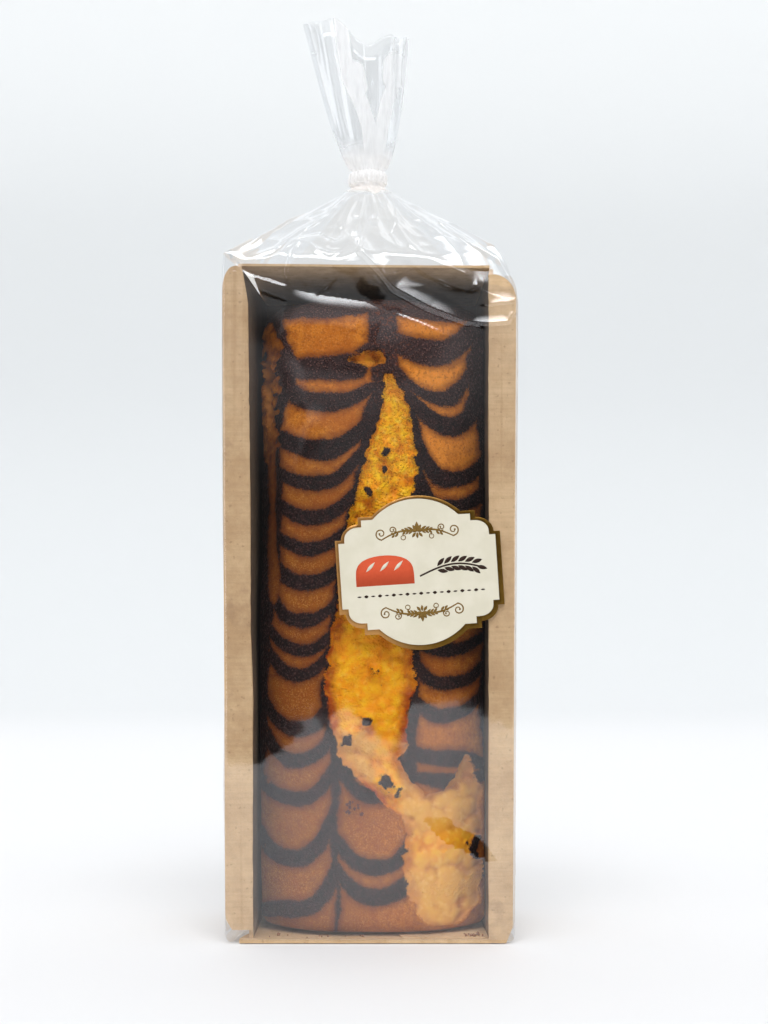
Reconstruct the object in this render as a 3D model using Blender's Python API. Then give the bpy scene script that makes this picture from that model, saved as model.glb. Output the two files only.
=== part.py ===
"""A marble loaf cake in its kraft tray, sealed in a clear film bag that is tied above the tray.

The pack stands on one short end, with the open face of the tray to the front (-Y) and +Z up.
The origin is on the floor, in the middle of the pack's box.

A sealed bag is one closed body out to the film, so the tray and the cake inside it have no
solids of their own. The film lies flat over the open face and the tray's rim. Above the tray
it hangs in two soft swags, runs in as a pleated tent to a narrow neck, and fans out again
above a band that holds it shut. A shaped paper label is stuck on the front.

Everything is in metres.
"""

import math

import bmesh
import bpy

# The bag round the tray
FRONT_WIDTH = 0.1045  # across the front, over the tray's rim
BACK_WIDTH = 0.0880  # across the back, over the tray's narrower body
FOOT_NARROWING = 0.0025  # the pack is this much narrower at its foot
BODY_DEPTH = 0.064  # flat front film to back film
FRONT_RADIUS = 0.0015
BACK_RADIUS = 0.004
FOOT_INSET = 0.0025  # the film rounds under the foot by this much
FOOT_RISE = 0.003
GATHER_START = 0.210  # the film is smooth below this height

# The swags of loose film across the top of the front
SWAG_BULGE = 0.0022  # how far a swag stands out from the flat front
SWAG_LIP = 0.005  # height over which it comes out
SWAG_FADE = 0.022  # height over which it goes back
SWAG_ENDS = 0.240  # height of the swag's edge at the left corner
SWAG_LOW = 0.2195  # and at its lowest, on the right
SWAG_WIDTH = 0.030  # how fast it comes down from the left corner
SWAG_WAVE = 0.0018  # its edge is wavy
SWAG_WAVE_LENGTH = 0.0085

# The tent of film from the tray up to the neck
SHOULDER_TOP = 0.2425  # where the film leaves the tray
SHOULDER_DROP = 0.0160  # it leaves this much lower round the right corner
DROP_FROM = 0.020  # the drop starts at this x
DROP_FULL = 0.050
DROP_REACH = 0.12  # the share of the way to the neck over which that evens out
NECK_X = -0.001
NECK_LOW = 0.2735
NECK_HIGH = 0.2805
NECK_RADIUS = 0.0062
TENT_BULGE = 1.15  # over 1 makes the tent rise faster at its edge than near the neck
TENT_PLEATS = ((7, 0.6, 0.0015), (11, 2.0, 0.0009))  # how many, where and how deep

# The fan of loose film above the neck
FAN_TOP = 0.3245  # height of the dip between the two lobes of the fan
LEFT_LOBE = (-0.0180, 0.0115, 0.0120)  # middle, half width and height over the dip
RIGHT_LOBE = (0.0100, 0.0080, 0.0055)
FAN_HALF_WIDTH = 0.0198
FAN_HALF_DEPTH = 0.0115
FAN_OPENING = 0.62  # under 1 makes the fan open fast above the neck
FAN_LEAN = -0.0045  # how far its middle leans to the left at the top
FAN_PLEATS = ((6, 1.0, 0.0015), (9, 0.0, 0.0010))
FAN_DISH = 0.012  # depth of the hollow between its leaves
DISH_RIM = 0.55  # width of the hollow's foot, as a share of the fan's

# The band round the neck
BAND_GAP = 0.0003
BAND_THICK = 0.0011
BAND_HEIGHT = 0.0050
BAND_EDGE = 0.0003  # its edges are broken by this much

# The label
LABEL_CENTRE = (0.0174, 0.1300)  # x and height
LABEL_TILT = math.radians(3.7)  # its right end is the higher one
LABEL_GAP = 0.0003
LABEL_THICK = 0.0005
LABEL_HALF_WIDTH = 0.0289
LABEL_SIDE_TOP = 0.0129  # half the height of the straight sides
LABEL_EAR = (0.0267, 0.0205, 0.0182)  # the ear's outer and inner x, and its top
LABEL_STEP = (0.0156, 0.0206)  # where the arched top starts
LABEL_HALF_HEIGHT = 0.0270
LABEL_BORDER = 0.0013
LABEL_SINK = 0.0001  # the field inside the border lies this much lower

# Points round a ring of the bag
FRONT_STEPS = 34
SIDE_STEPS = 14
BACK_STEPS = 20
CORNER_STEPS = 3
GATHER_RINGS = 14
TENT_RINGS = 12
FAN_RINGS = 11
BAND_STEPS = 40
ARC_STEPS = 10

TOTAL_DEPTH = BODY_DEPTH + SWAG_BULGE
FRONT_Y = SWAG_BULGE - TOTAL_DEPTH / 2
BACK_Y = TOTAL_DEPTH / 2
MIDDLE_Y = (FRONT_Y + BACK_Y) / 2


def clear_scene():
    """Removes whatever the scene holds."""
    for thing in list(bpy.data.objects):
        bpy.data.objects.remove(thing, do_unlink=True)


def make_material(name, colour, roughness, alpha=1.0):
    """One plain Principled finish."""
    material = bpy.data.materials.new(name)
    material.use_nodes = True
    shader = material.node_tree.nodes["Principled BSDF"]
    shader.inputs["Base Color"].default_value = (*colour, 1.0)
    shader.inputs["Roughness"].default_value = roughness
    shader.inputs["Metallic"].default_value = 0.0
    shader.inputs["Alpha"].default_value = alpha
    return material


def object_from(mesh_builder, name, material, smooth_angle):
    """Puts a finished bmesh into an object that is shaded smooth up to an angle."""
    bmesh.ops.recalc_face_normals(mesh_builder, faces=mesh_builder.faces)
    mesh = bpy.data.meshes.new(name)
    mesh_builder.to_mesh(mesh)
    mesh_builder.free()
    mesh.shade_smooth()
    mesh.set_sharp_from_angle(angle=math.radians(smooth_angle))
    mesh.materials.append(material)
    thing = bpy.data.objects.new(name, mesh)
    bpy.context.scene.collection.objects.link(thing)
    return thing


def ramp(value, low, high):
    """0 below low, 1 above high, and a smooth S between them."""
    share = min(1.0, max(0.0, (value - low) / (high - low)))
    return share * share * (3 - 2 * share)


def mix(first, second, share):
    return first + (second - first) * share


def rounded_corner(before, corner, after, radius):
    """Points of an arc that rounds one corner of a section, both ends included."""

    def unit(end):
        length = math.dist(corner, end)
        return ((end[0] - corner[0]) / length, (end[1] - corner[1]) / length)

    back, forward = unit(before), unit(after)
    half_angle = math.acos(back[0] * forward[0] + back[1] * forward[1]) / 2
    reach = radius / math.tan(half_angle)
    middle = (back[0] + forward[0], back[1] + forward[1])
    scale = radius / math.sin(half_angle) / math.hypot(*middle)
    centre = (corner[0] + middle[0] * scale, corner[1] + middle[1] * scale)
    start = (corner[0] + back[0] * reach, corner[1] + back[1] * reach)
    angle = math.atan2(start[1] - centre[1], start[0] - centre[0])
    turn = math.pi - 2 * half_angle
    points = []
    for step in range(CORNER_STEPS + 1):
        a = angle + turn * step / CORNER_STEPS
        points.append((centre[0] + radius * math.cos(a), centre[1] + radius * math.sin(a)))
    return points


def body_section(height, inset=0.0):
    """The rounded trapezoid of the bag round the tray, anticlockwise from above."""
    share = min(1.0, height / GATHER_START)
    narrowing = FOOT_NARROWING * (1 - share) / 2
    front = FRONT_WIDTH / 2 - narrowing - inset
    back = BACK_WIDTH / 2 - narrowing - inset
    near, far = FRONT_Y + inset, BACK_Y - inset
    corners = [(-front, near), (front, near), (back, far), (-back, far)]
    radii = [FRONT_RADIUS, FRONT_RADIUS, BACK_RADIUS, BACK_RADIUS]
    arcs = [
        rounded_corner(corners[i - 1], corners[i], corners[(i + 1) % 4], radii[i])
        for i in range(4)
    ]
    section = []
    for i, steps in enumerate((FRONT_STEPS, SIDE_STEPS, BACK_STEPS, SIDE_STEPS)):
        arc, start, end = arcs[i], arcs[i][-1], arcs[(i + 1) % 4][0]
        section += arc
        for step in range(1, steps):
            share = step / steps
            section.append((mix(start[0], end[0], share), mix(start[1], end[1], share)))
    return section


def swag_edge(x):
    """Height of the swags' lower edge across the front."""
    left = x + FRONT_WIDTH / 2
    fall = 1 - math.exp(-((left / SWAG_WIDTH) ** 2))
    return mix(SWAG_ENDS, SWAG_LOW, fall) + SWAG_WAVE * math.sin(left / SWAG_WAVE_LENGTH)


def swag(x, height):
    """How far the loose film stands out from the flat front at one point."""
    over = height - swag_edge(x)
    return SWAG_BULGE * ramp(over, 0, SWAG_LIP) * (1 - ramp(over, SWAG_LIP, SWAG_FADE))


def body_ring(height, inset=0.0):
    """A level ring of the bag round the tray."""
    return [(x, y, height) for x, y in body_section(height, inset)]


def shoulder_drop(x):
    """How much lower the film leaves the tray than at the left corner."""
    return SHOULDER_DROP * ramp(x, DROP_FROM, DROP_FULL)


def gather_ring(share):
    """A ring between the smooth part, at share 0, and the shoulder, at share 1."""
    front_limit = FRONT_Y + FRONT_RADIUS
    ring = []
    for x, y in body_section(GATHER_START):
        height = mix(GATHER_START, SHOULDER_TOP - shoulder_drop(x), share)
        stand = swag(x, height) if y < front_limit else 0.0
        ring.append((x, y - stand, height))
    return ring


def directions():
    """The angle of each point of a ring, seen from the neck's own axis."""
    return [math.atan2(y - MIDDLE_Y, x) for x, y in body_section(GATHER_START)]


def pleated(pleats, angle):
    """How far a pleated ring stands out at one angle: a sum of waves round it."""
    return sum(depth * math.cos(count * angle + phase) for count, phase, depth in pleats)


def tent_ring(share, angles):
    """A ring between the shoulder, at share 0, and the neck, at share 1."""
    rise = 1 - (1 - share) ** TENT_BULGE
    level = mix(SHOULDER_TOP, NECK_LOW, rise)
    drop_left = math.exp(-share / DROP_REACH) * (1 - share)
    ring = []
    for (x, y, _), angle in zip(gather_ring(1.0), angles):
        out = pleated(TENT_PLEATS, angle) * math.sin(math.pi * share)
        neck_x = NECK_X + NECK_RADIUS * math.cos(angle)
        neck_y = MIDDLE_Y + NECK_RADIUS * math.sin(angle)
        ring.append(
            (
                mix(x, neck_x, share) + out * math.cos(angle),
                mix(y, neck_y, share) + out * math.sin(angle),
                level - shoulder_drop(x) * drop_left + out / 2,
            )
        )
    return ring


def neck_ring(height, angles):
    return [
        (NECK_X + NECK_RADIUS * math.cos(a), MIDDLE_Y + NECK_RADIUS * math.sin(a), height)
        for a in angles
    ]


def fan_rim(x):
    """Height of the fan's upper edge: two lobes with a dip between them."""
    height = FAN_TOP
    for middle, half_width, lift in (LEFT_LOBE, RIGHT_LOBE):
        height += lift * math.exp(-(((x - middle) / half_width) ** 4))
    return height


def fan_ring(share, angles, shrink=1.0, sink=0.0):
    """A ring of the fan, from the neck at share 0 to the wavy rim at share 1."""
    spread = share**FAN_OPENING
    half_width = mix(NECK_RADIUS, FAN_HALF_WIDTH, spread)
    half_depth = mix(NECK_RADIUS, FAN_HALF_DEPTH, spread)
    middle_x = NECK_X + FAN_LEAN * share
    ring = []
    for a in angles:
        out = pleated(FAN_PLEATS, a) * share
        x = middle_x + shrink * (half_width + out) * math.cos(a)
        y = MIDDLE_Y + shrink * (half_depth + out) * math.sin(a)
        ring.append((x, y, mix(NECK_HIGH, fan_rim(x), share) - sink))
    return ring


def skin(rings, tip):
    """A closed body through rings, with one flat face below and a cone of faces on top."""
    builder = bmesh.new()
    loops = [[builder.verts.new(point) for point in ring] for ring in rings]
    count = len(loops[0])
    for lower, upper in zip(loops, loops[1:]):
        for i in range(count):
            j = (i + 1) % count
            builder.faces.new((lower[i], lower[j], upper[j], upper[i]))
    builder.faces.new(reversed(loops[0]))
    top = builder.verts.new(tip)
    for i in range(count):
        builder.faces.new((loops[-1][i], loops[-1][(i + 1) % count], top))
    return builder


def build_bag(material):
    """The whole bag, from its flat foot to the hollow in the top of its fan."""
    angles = directions()
    rings = [body_ring(0.0, FOOT_INSET), body_ring(FOOT_RISE)]
    rings += [body_ring(GATHER_START * step / 3) for step in (1, 2)]
    rings += [gather_ring(step / GATHER_RINGS) for step in range(GATHER_RINGS + 1)]
    rings += [tent_ring(step / TENT_RINGS, angles) for step in range(1, TENT_RINGS + 1)]
    rings.append(neck_ring(NECK_HIGH, angles))
    rings += [fan_ring(step / FAN_RINGS, angles) for step in range(1, FAN_RINGS + 1)]
    rings.append(fan_ring(1.0, angles, shrink=DISH_RIM, sink=FAN_DISH / 2))
    tip = (NECK_X + FAN_LEAN, MIDDLE_Y, FAN_TOP - FAN_DISH)
    return object_from(skin(rings, tip), "film_bag", material, 40)


def build_band(material):
    """The band that holds the neck shut: a flat ring with rounded edges."""
    inner = NECK_RADIUS + BAND_GAP
    outer = inner + BAND_THICK
    low = (NECK_LOW + NECK_HIGH - BAND_HEIGHT) / 2
    high = low + BAND_HEIGHT
    profile = [
        (inner, low + BAND_EDGE),
        (inner + BAND_EDGE, low),
        (outer - BAND_EDGE, low),
        (outer, low + BAND_EDGE),
        (outer, high - BAND_EDGE),
        (outer - BAND_EDGE, high),
        (inner + BAND_EDGE, high),
        (inner, high - BAND_EDGE),
    ]
    builder = bmesh.new()
    loops = []
    for step in range(BAND_STEPS):
        a = 2 * math.pi * step / BAND_STEPS
        loops.append(
            [
                builder.verts.new((NECK_X + r * math.cos(a), MIDDLE_Y + r * math.sin(a), z))
                for r, z in profile
            ]
        )
    for i, loop in enumerate(loops):
        following = loops[(i + 1) % BAND_STEPS]
        for j in range(len(profile)):
            k = (j + 1) % len(profile)
            builder.faces.new((loop[j], following[j], following[k], loop[k]))
    return object_from(builder, "neck_band", material, 50)


def label_quarter():
    """One quarter of the label's outline, from the right side up to the middle of the top."""
    ear_out, ear_in, ear_top = LABEL_EAR
    step_x, step_top = LABEL_STEP
    points = [(LABEL_HALF_WIDTH, LABEL_SIDE_TOP)]
    for i in range(ARC_STEPS + 1):
        a = math.pi / 2 * i / ARC_STEPS
        x = ear_in + (ear_out - ear_in) * math.cos(a)
        points.append((x, LABEL_SIDE_TOP + (ear_top - LABEL_SIDE_TOP) * math.sin(a)))
    points += [(ear_in, step_top), (step_x, step_top)]
    rise = LABEL_HALF_HEIGHT - step_top
    radius = (step_x**2 + rise**2) / (2 * rise)
    half_angle = math.asin(step_x / radius)
    for i in range(1, ARC_STEPS + 1):
        a = half_angle * (1 - i / ARC_STEPS)
        points.append((radius * math.sin(a), LABEL_HALF_HEIGHT - radius * (1 - math.cos(a))))
    return points


def label_outline():
    """The whole outline, from its quarter by two reflections, anticlockwise."""
    quarter = label_quarter()
    upper = quarter + [(-x, z) for x, z in reversed(quarter[:-1])]
    return upper + [(-x, -z) for x, z in upper]


def build_label(material):
    """A thin plate with a border, turned to its tilt and set on the front film."""
    builder = bmesh.new()
    face = builder.faces.new([builder.verts.new((x, 0, z)) for x, z in label_outline()])
    pushed = bmesh.ops.extrude_face_region(builder, geom=[face])
    front = [item for item in pushed["geom"] if isinstance(item, bmesh.types.BMFace)]
    moved = [item for item in pushed["geom"] if isinstance(item, bmesh.types.BMVert)]
    bmesh.ops.translate(builder, verts=moved, vec=(0, -LABEL_THICK, 0))
    bmesh.ops.inset_region(builder, faces=front, thickness=LABEL_BORDER, depth=0)
    sunk = {vert for item in front for vert in item.verts}
    bmesh.ops.translate(builder, verts=list(sunk), vec=(0, LABEL_SINK, 0))
    label = object_from(builder, "front_label", material, 30)
    label.rotation_euler = (0, -LABEL_TILT, 0)
    label.location = (LABEL_CENTRE[0], FRONT_Y - LABEL_GAP, LABEL_CENTRE[1])
    return label


def main():
    clear_scene()
    film = make_material("clear_film", (0.90, 0.91, 0.92), 0.08)
    band = make_material("clear_band", (0.93, 0.94, 0.95), 0.30)
    paper = make_material("label_paper", (0.74, 0.69, 0.55), 0.45)
    build_bag(film)
    build_band(band)
    build_label(paper)


main()
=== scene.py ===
# %% [markdown]
# # A marble loaf cake, packed in clear film
#
# The object is a loaf of feathered marble cake. It lies in a tray of kraft board, and the tray
# stands on one short end inside a clear film bag. The bag is gathered above the tray, held by a
# narrow band, and fans out again. A shaped paper label is stuck on the front.
#
# The frame that is loaded here has one closed solid for the whole bag. This script keeps its
# outer form and puts real film, board, cake and paper in its place.

import math

import bpy
import numpy as np
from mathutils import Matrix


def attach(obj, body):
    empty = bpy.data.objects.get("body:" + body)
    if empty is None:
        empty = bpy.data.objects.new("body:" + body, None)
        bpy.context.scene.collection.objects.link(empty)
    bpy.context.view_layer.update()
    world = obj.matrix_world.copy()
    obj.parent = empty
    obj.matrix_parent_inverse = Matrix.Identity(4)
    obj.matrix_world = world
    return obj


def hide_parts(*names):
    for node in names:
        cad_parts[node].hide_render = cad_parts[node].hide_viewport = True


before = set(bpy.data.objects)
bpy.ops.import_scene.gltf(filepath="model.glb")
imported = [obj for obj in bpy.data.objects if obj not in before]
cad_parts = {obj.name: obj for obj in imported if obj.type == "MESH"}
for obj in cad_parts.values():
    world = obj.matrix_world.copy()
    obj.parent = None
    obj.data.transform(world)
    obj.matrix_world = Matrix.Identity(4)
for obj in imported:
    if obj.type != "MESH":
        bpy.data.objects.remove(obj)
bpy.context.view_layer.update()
MM = 0.001

# %% [markdown]
# ## Tools for making surfaces
#
# Every piece is a surface worked out as arrays: a grid of points, where each row is a ring or a
# line. Numbers are in millimetres until a mesh is made. The helpers below turn grids into faces,
# put arrays into a mesh, and make the repeatable random hills that roughen a surface.


# %% Faces of a grid
def grid_quads(rows, columns, wrap):
    """Corner numbers of a grid's faces. Rows that rise and columns that run anticlockwise,
    seen from above, give faces that point outwards."""
    row = np.arange(rows - 1)[:, None] * columns
    column = np.arange(columns if wrap else columns - 1)[None, :]
    beside = (column + 1) % columns
    corners = (row + column, row + beside, row + beside + columns, row + column + columns)
    return np.stack(corners, axis=-1).reshape(-1, 4)


def fan_triangles(ring, pole, flip):
    """Triangles from each edge of a ring of point numbers to one pole."""
    following = np.roll(ring, -1)
    corners = (following, ring) if flip else (ring, following)
    return np.stack([*corners, np.full(len(ring), pole)], axis=-1)


# %% From arrays to a mesh
def make_piece(name, points, faces, materials, face_materials=None, values=None):
    """A smooth-shaded mesh object from an array of points in mm and arrays of faces."""
    mesh = bpy.data.meshes.new(name)
    points = np.asarray(points, dtype=np.float64).reshape(-1, 3) * MM
    corner_counts = np.concatenate([np.full(len(f), f.shape[1]) for f in faces])
    corners = np.concatenate([f.ravel() for f in faces]).astype(np.int32)
    starts = np.concatenate([[0], np.cumsum(corner_counts)[:-1]]).astype(np.int32)
    mesh.vertices.add(len(points))
    mesh.vertices.foreach_set("co", points.astype(np.float32).ravel())
    mesh.loops.add(len(corners))
    mesh.loops.foreach_set("vertex_index", corners)
    mesh.polygons.add(len(starts))
    mesh.polygons.foreach_set("loop_start", starts)
    for material in materials:
        mesh.materials.append(material)
    if face_materials is not None:
        mesh.polygons.foreach_set("material_index", face_materials.astype(np.int32))
    mesh.update(calc_edges=True)
    mesh.shade_smooth()
    for key, numbers in (values or {}).items():
        attribute = mesh.attributes.new(key, "FLOAT", "POINT")
        attribute.data.foreach_set("value", np.ravel(numbers).astype(np.float32))
    thing = bpy.data.objects.new(name, mesh)
    bpy.context.scene.collection.objects.link(thing)
    triangles = int((corner_counts - 2).sum())
    print(f"{name}: {len(points)} points, {triangles} triangles")
    return thing


# %% Several closed shells in one mesh
class Shells:
    """Collects closed shells, so that several can go into one mesh."""

    def __init__(self):
        self.points, self.faces, self.kinds, self.count = [], [], [], 0

    def add(self, points, faces, kind=0, first_kind=None):
        """Adds a shell. kind is its material's number, and first_kind that of its first faces."""
        points = np.asarray(points, dtype=np.float64).reshape(-1, 3)
        self.points.append(points)
        kinds = [kind] * len(faces)
        if first_kind is not None:
            kinds[0] = first_kind
        for f, kind_here in zip(faces, kinds):
            if f.shape[1] == 3:
                f = np.column_stack([f, np.full(len(f), -1)])
            self.faces.append(np.where(f < 0, -1, f + self.count))
            self.kinds.append(np.full(len(f), kind_here))
        self.count += len(points)

    def piece(self, name, materials):
        """One mesh of all the shells. A triangle was kept as four numbers, the last of them -1."""
        faces = np.concatenate(self.faces)
        kinds = np.concatenate(self.kinds)
        three = faces[:, 3] < 0
        split = [faces[~three], faces[three][:, :3]]
        order = np.concatenate([kinds[~three], kinds[three]])
        return make_piece(name, np.concatenate(self.points), split, materials, order)


# %% Closed shells from grids
def tube_shell(grid):
    """Faces of a stack of rings, with a fan to the middle of the first and the last ring.
    Returns the points, with the two poles at the end, and the faces."""
    rows, columns = grid.shape[:2]
    poles = np.stack([grid[0].mean(axis=0), grid[-1].mean(axis=0)])
    points = np.concatenate([grid.reshape(-1, 3), poles])
    last = rows * columns
    low = fan_triangles(np.arange(columns), last, flip=True)
    high = fan_triangles(np.arange(last - columns, last), last + 1, flip=False)
    return points, [grid_quads(rows, columns, True), low, high]


def board_shell(front, back):
    """A thin board between two grids of the same size: both faces and the four cut edges.
    The front grid's faces point the way that its rows cross its columns."""
    rows, columns = front.shape[:2]
    points = np.concatenate([front.reshape(-1, 3), back.reshape(-1, 3)])
    shift = rows * columns
    face = grid_quads(rows, columns, False)
    number = np.arange(shift).reshape(rows, columns)
    rim = np.concatenate([number[0], number[1:, -1], number[-1, -2::-1], number[-2:0:-1, 0]])
    following = np.roll(rim, -1)
    edge = np.stack([following, rim, rim + shift, following + shift], axis=-1)
    return points, [face, face[:, ::-1] + shift, edge]


# %% Smooth steps and mixes
def ramp(value, low, high):
    """0 below low, 1 above high, and a smooth S between them."""
    share = np.clip((value - low) / (high - low), 0, 1)
    return share * share * (3 - 2 * share)


def mix(first, second, share):
    """The first value at share 0, the second at share 1, and a straight line between them."""
    return first + (second - first) * share


# %% Repeatable random hills
def hills(u, v, seed, cell):
    """Random heights from -1 to 1 on a net of squares, blended by an S curve between them."""
    table = np.random.default_rng(seed).uniform(-1, 1, (256, 256))
    u, v = np.broadcast_arrays(u / cell, v / cell)
    i, j = np.floor(u).astype(int), np.floor(v).astype(int)
    fu, fv = ramp(u - i, 0, 1), ramp(v - j, 0, 1)
    i, j, i2, j2 = i % 256, j % 256, (i + 1) % 256, (j + 1) % 256
    low = mix(table[i, j], table[i2, j], fu)
    high = mix(table[i, j2], table[i2, j2], fu)
    return mix(low, high, fv)


def rough(u, v, seed, cell, layers=3):
    """Hills on hills: each layer has half the size and about half the height of the last."""
    total = sum(hills(u, v, seed + k, cell / 2**k) * 0.55**k for k in range(layers))
    return total / 1.6


def ridges(u, v, seed, cell):
    """Sharp ridges with smooth dales: hills folded over where they cross nought."""
    return 1 - 2 * np.abs(hills(u, v, seed, cell))


# %% Repeatable random lumps
def clumps(u, v, seed, cell):
    """Round lumps from 0 to 1: one dome, 1 - distance^2, on a random spot in each cell.
    The domes are of uneven sizes."""
    table = np.random.default_rng(seed).uniform(0, 1, (3, 128, 128))
    u, v = np.broadcast_arrays(u / cell, v / cell)
    i, j = np.floor(u).astype(int), np.floor(v).astype(int)
    nearest = np.full(u.shape, 9.0)
    for step_u in (-1, 0, 1):
        for step_v in (-1, 0, 1):
            a, b = i + step_u, j + step_v
            spot_u, spot_v, size = table[:, a % 128, b % 128]
            away = np.hypot(u - a - spot_u, v - b - spot_v)
            nearest = np.minimum(nearest, away / mix(0.55, 1.15, size))
    return np.clip(1 - nearest**2, 0, 1)


# %% [markdown]
# ## Where things are
#
# The camera stands half a metre in front of the pack, a little above the middle of the tray, and
# looks level. A level camera keeps the sides of the tray upright, and a small shift of the lens
# brings the whole pack into the picture, as an architect's camera does.

# %% The pack's main sizes, in mm
FILM_FRONT = -30.9  # y of the flat front film
FILM_BACK = 33.1
MIDDLE_Y = (FILM_FRONT + FILM_BACK) / 2
TRAY_TOP = 237.6
BOARD = 1.5

# %% Camera
CAMERA_DISTANCE = 520.0  # from the front film
CAMERA_X = 4.9
CAMERA_HEIGHT = 110.0
camera_data = bpy.data.cameras.new("camera")
camera_data.sensor_width = 36.0
camera_data.lens = 52.24
camera_data.shift_y = 0.1152
camera_data.clip_start = 0.01
camera_data.clip_end = 50.0
camera = bpy.data.objects.new("camera", camera_data)
camera.location = (CAMERA_X * MM, (FILM_FRONT - CAMERA_DISTANCE) * MM, CAMERA_HEIGHT * MM)
camera.rotation_euler = (math.pi / 2, 0, 0)
bpy.context.scene.collection.objects.link(camera)
bpy.context.scene.camera = camera
bpy.context.scene.view_settings.view_transform = "Standard"
bpy.context.scene.cycles.transparent_max_bounces = 24  # the fan is many films deep


# %% [markdown]
# ## Writing materials
#
# A material is a tree of nodes. The short helper class below makes nodes and links in one line
# each, so that the trees stay readable. Patterns that several materials share, such as grain,
# are node groups with named inputs and outputs.


# %% A short way to write node trees
class Tree:
    """Makes nodes in a material or a group, and links what it is given."""

    def __init__(self, tree):
        self.tree = tree

    def node(self, kind, inputs=None, **settings):
        """A node with its settings. Each input is another node's output, or a plain value."""
        made = self.tree.nodes.new(kind)
        for key, value in settings.items():
            setattr(made, key, value)
        for key, value in (inputs or {}).items():
            if isinstance(value, bpy.types.NodeSocket):
                self.tree.links.new(value, made.inputs[key])
            else:
                made.inputs[key].default_value = value
        return made

    def math(self, operation, first, second=0.0, third=0.0, clamp=False):
        inputs = {0: first, 1: second, 2: third}
        return self.node("ShaderNodeMath", inputs, operation=operation, use_clamp=clamp).outputs[0]

    def step(self, value, low, high):
        """A smooth step of a value, from 0 at low to 1 at high."""
        inputs = {"Value": value, "From Min": low, "From Max": high}
        made = self.node("ShaderNodeMapRange", inputs, interpolation_type="SMOOTHSTEP")
        return made.outputs["Result"]

    def span(self, value, low, high):
        """Turns 0 to 1 into low to high."""
        inputs = {"Value": value, "To Min": low, "To Max": high}
        return self.node("ShaderNodeMapRange", inputs).outputs["Result"]

    def times(self, *values):
        """The product of two or more values."""
        total = values[0]
        for value in values[1:]:
            total = self.math("MULTIPLY", total, value)
        return total

    def rest(self, value):
        """What is left up to 1: 1 - value."""
        return self.math("SUBTRACT", 1.0, value)

    def blend(self, share, first, second):
        """A mix of two colours."""
        inputs = {0: share, 6: first, 7: second}
        return self.node("ShaderNodeMix", inputs, data_type="RGBA").outputs[2]

    def tint(self, colour, mask, most, other):
        """A colour with another laid over it where the mask shows, by at most that share."""
        return self.blend(self.times(mask, most), colour, other)

    def axes(self, where):
        """x, y and z of a vector."""
        return self.node("ShaderNodeSeparateXYZ", {"Vector": where}).outputs

    def noise(self, where, scale, detail=3.0, roughness=0.55, warp=0.0):
        inputs = {"Vector": where, "Scale": scale, "Detail": detail}
        inputs |= {"Roughness": roughness, "Distortion": warp}
        return self.node("ShaderNodeTexNoise", inputs).outputs["Fac"]

    def cells(self, where, scale):
        """Distance to the middle of the nearest of many random cells."""
        inputs = {"Vector": where, "Scale": scale, "Randomness": 1.0}
        return self.node("ShaderNodeTexVoronoi", inputs).outputs["Distance"]

    def stretch(self, where, scale):
        """Places scaled by their own number along each axis, so that noise comes out long."""
        inputs = {"Vector": where, "Scale": scale}
        return self.node("ShaderNodeMapping", inputs).outputs["Vector"]

    def bump(self, height, distance, strength=1.0):
        """Normals that follow a height, whose full range stands for a distance in metres."""
        inputs = {"Height": height, "Distance": distance, "Strength": strength}
        return self.node("ShaderNodeBump", inputs).outputs["Normal"]

    def value(self, name):
        """A number that the mesh carries at each point."""
        made = self.node("ShaderNodeAttribute", attribute_name=name, attribute_type="GEOMETRY")
        return made.outputs["Fac"]


# %% Colours and new materials
def srgb(red, green, blue):
    """A colour as a screen shows it, 0 to 255, as the light values that the shader takes."""
    shares = [c / 255 for c in (red, green, blue)]
    return (*[s / 12.92 if s <= 0.04045 else ((s + 0.055) / 1.055) ** 2.4 for s in shares], 1.0)


def new_material(name):
    """A material with its Principled node and the place of its object."""
    material = bpy.data.materials.new(name)
    material.use_nodes = True
    tree = Tree(material.node_tree)
    shader = material.node_tree.nodes["Principled BSDF"]
    where = tree.node("ShaderNodeTexCoord").outputs["Object"]
    return material, tree, shader, where


def connect(tree, shader, **sockets):
    """Links outputs, or sets numbers, on a shader's sockets. Base_Color means Base Color."""
    for key, value in sockets.items():
        socket = shader.inputs[key.replace("_", " ")]
        if isinstance(value, bpy.types.NodeSocket):
            tree.tree.links.new(value, socket)
        else:
            socket.default_value = value


# %% A shared group: grain
SPECK_EDGE = 0.06  # how soft the edge of a speck is


def make_grain_group():
    """A mask of sparse specks: noise of one size, cut off near its peaks."""
    group = bpy.data.node_groups.new("grain", "ShaderNodeTree")
    for name, kind in (("Vector", "Vector"), ("Size", "Float"), ("Specks", "Float")):
        group.interface.new_socket(name, in_out="INPUT", socket_type=f"NodeSocket{kind}")
    group.interface.new_socket("Speck", in_out="OUTPUT", socket_type="NodeSocketFloat")
    tree = Tree(group)
    given = tree.node("NodeGroupInput").outputs
    upper = tree.math("ADD", given["Specks"], SPECK_EDGE)
    peaks = tree.noise(given["Vector"], given["Size"], 1.0, 0.4)
    tree.node("NodeGroupOutput", {"Speck": tree.step(peaks, given["Specks"], upper)})
    return group


GRAIN = make_grain_group()


def grain(tree, where, size, specks):
    """Specks of a size, fewer where specks is higher."""
    inputs = {"Vector": where, "Size": size, "Specks": specks}
    return tree.node("ShaderNodeGroup", inputs, node_tree=GRAIN).outputs["Speck"]


# %% [markdown]
# ## The kraft tray
#
# The tray is folded from thin brown board: a back, two long side walls whose rims fold out flat
# to the front, and an end wall at the top and the foot. It could be one folded sheet, but
# separate boards that butt at the folds are simpler, and the joints don't show. Each board is a
# thin shell between two grids. The rims are cut a little unevenly, as in the real one.

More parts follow.
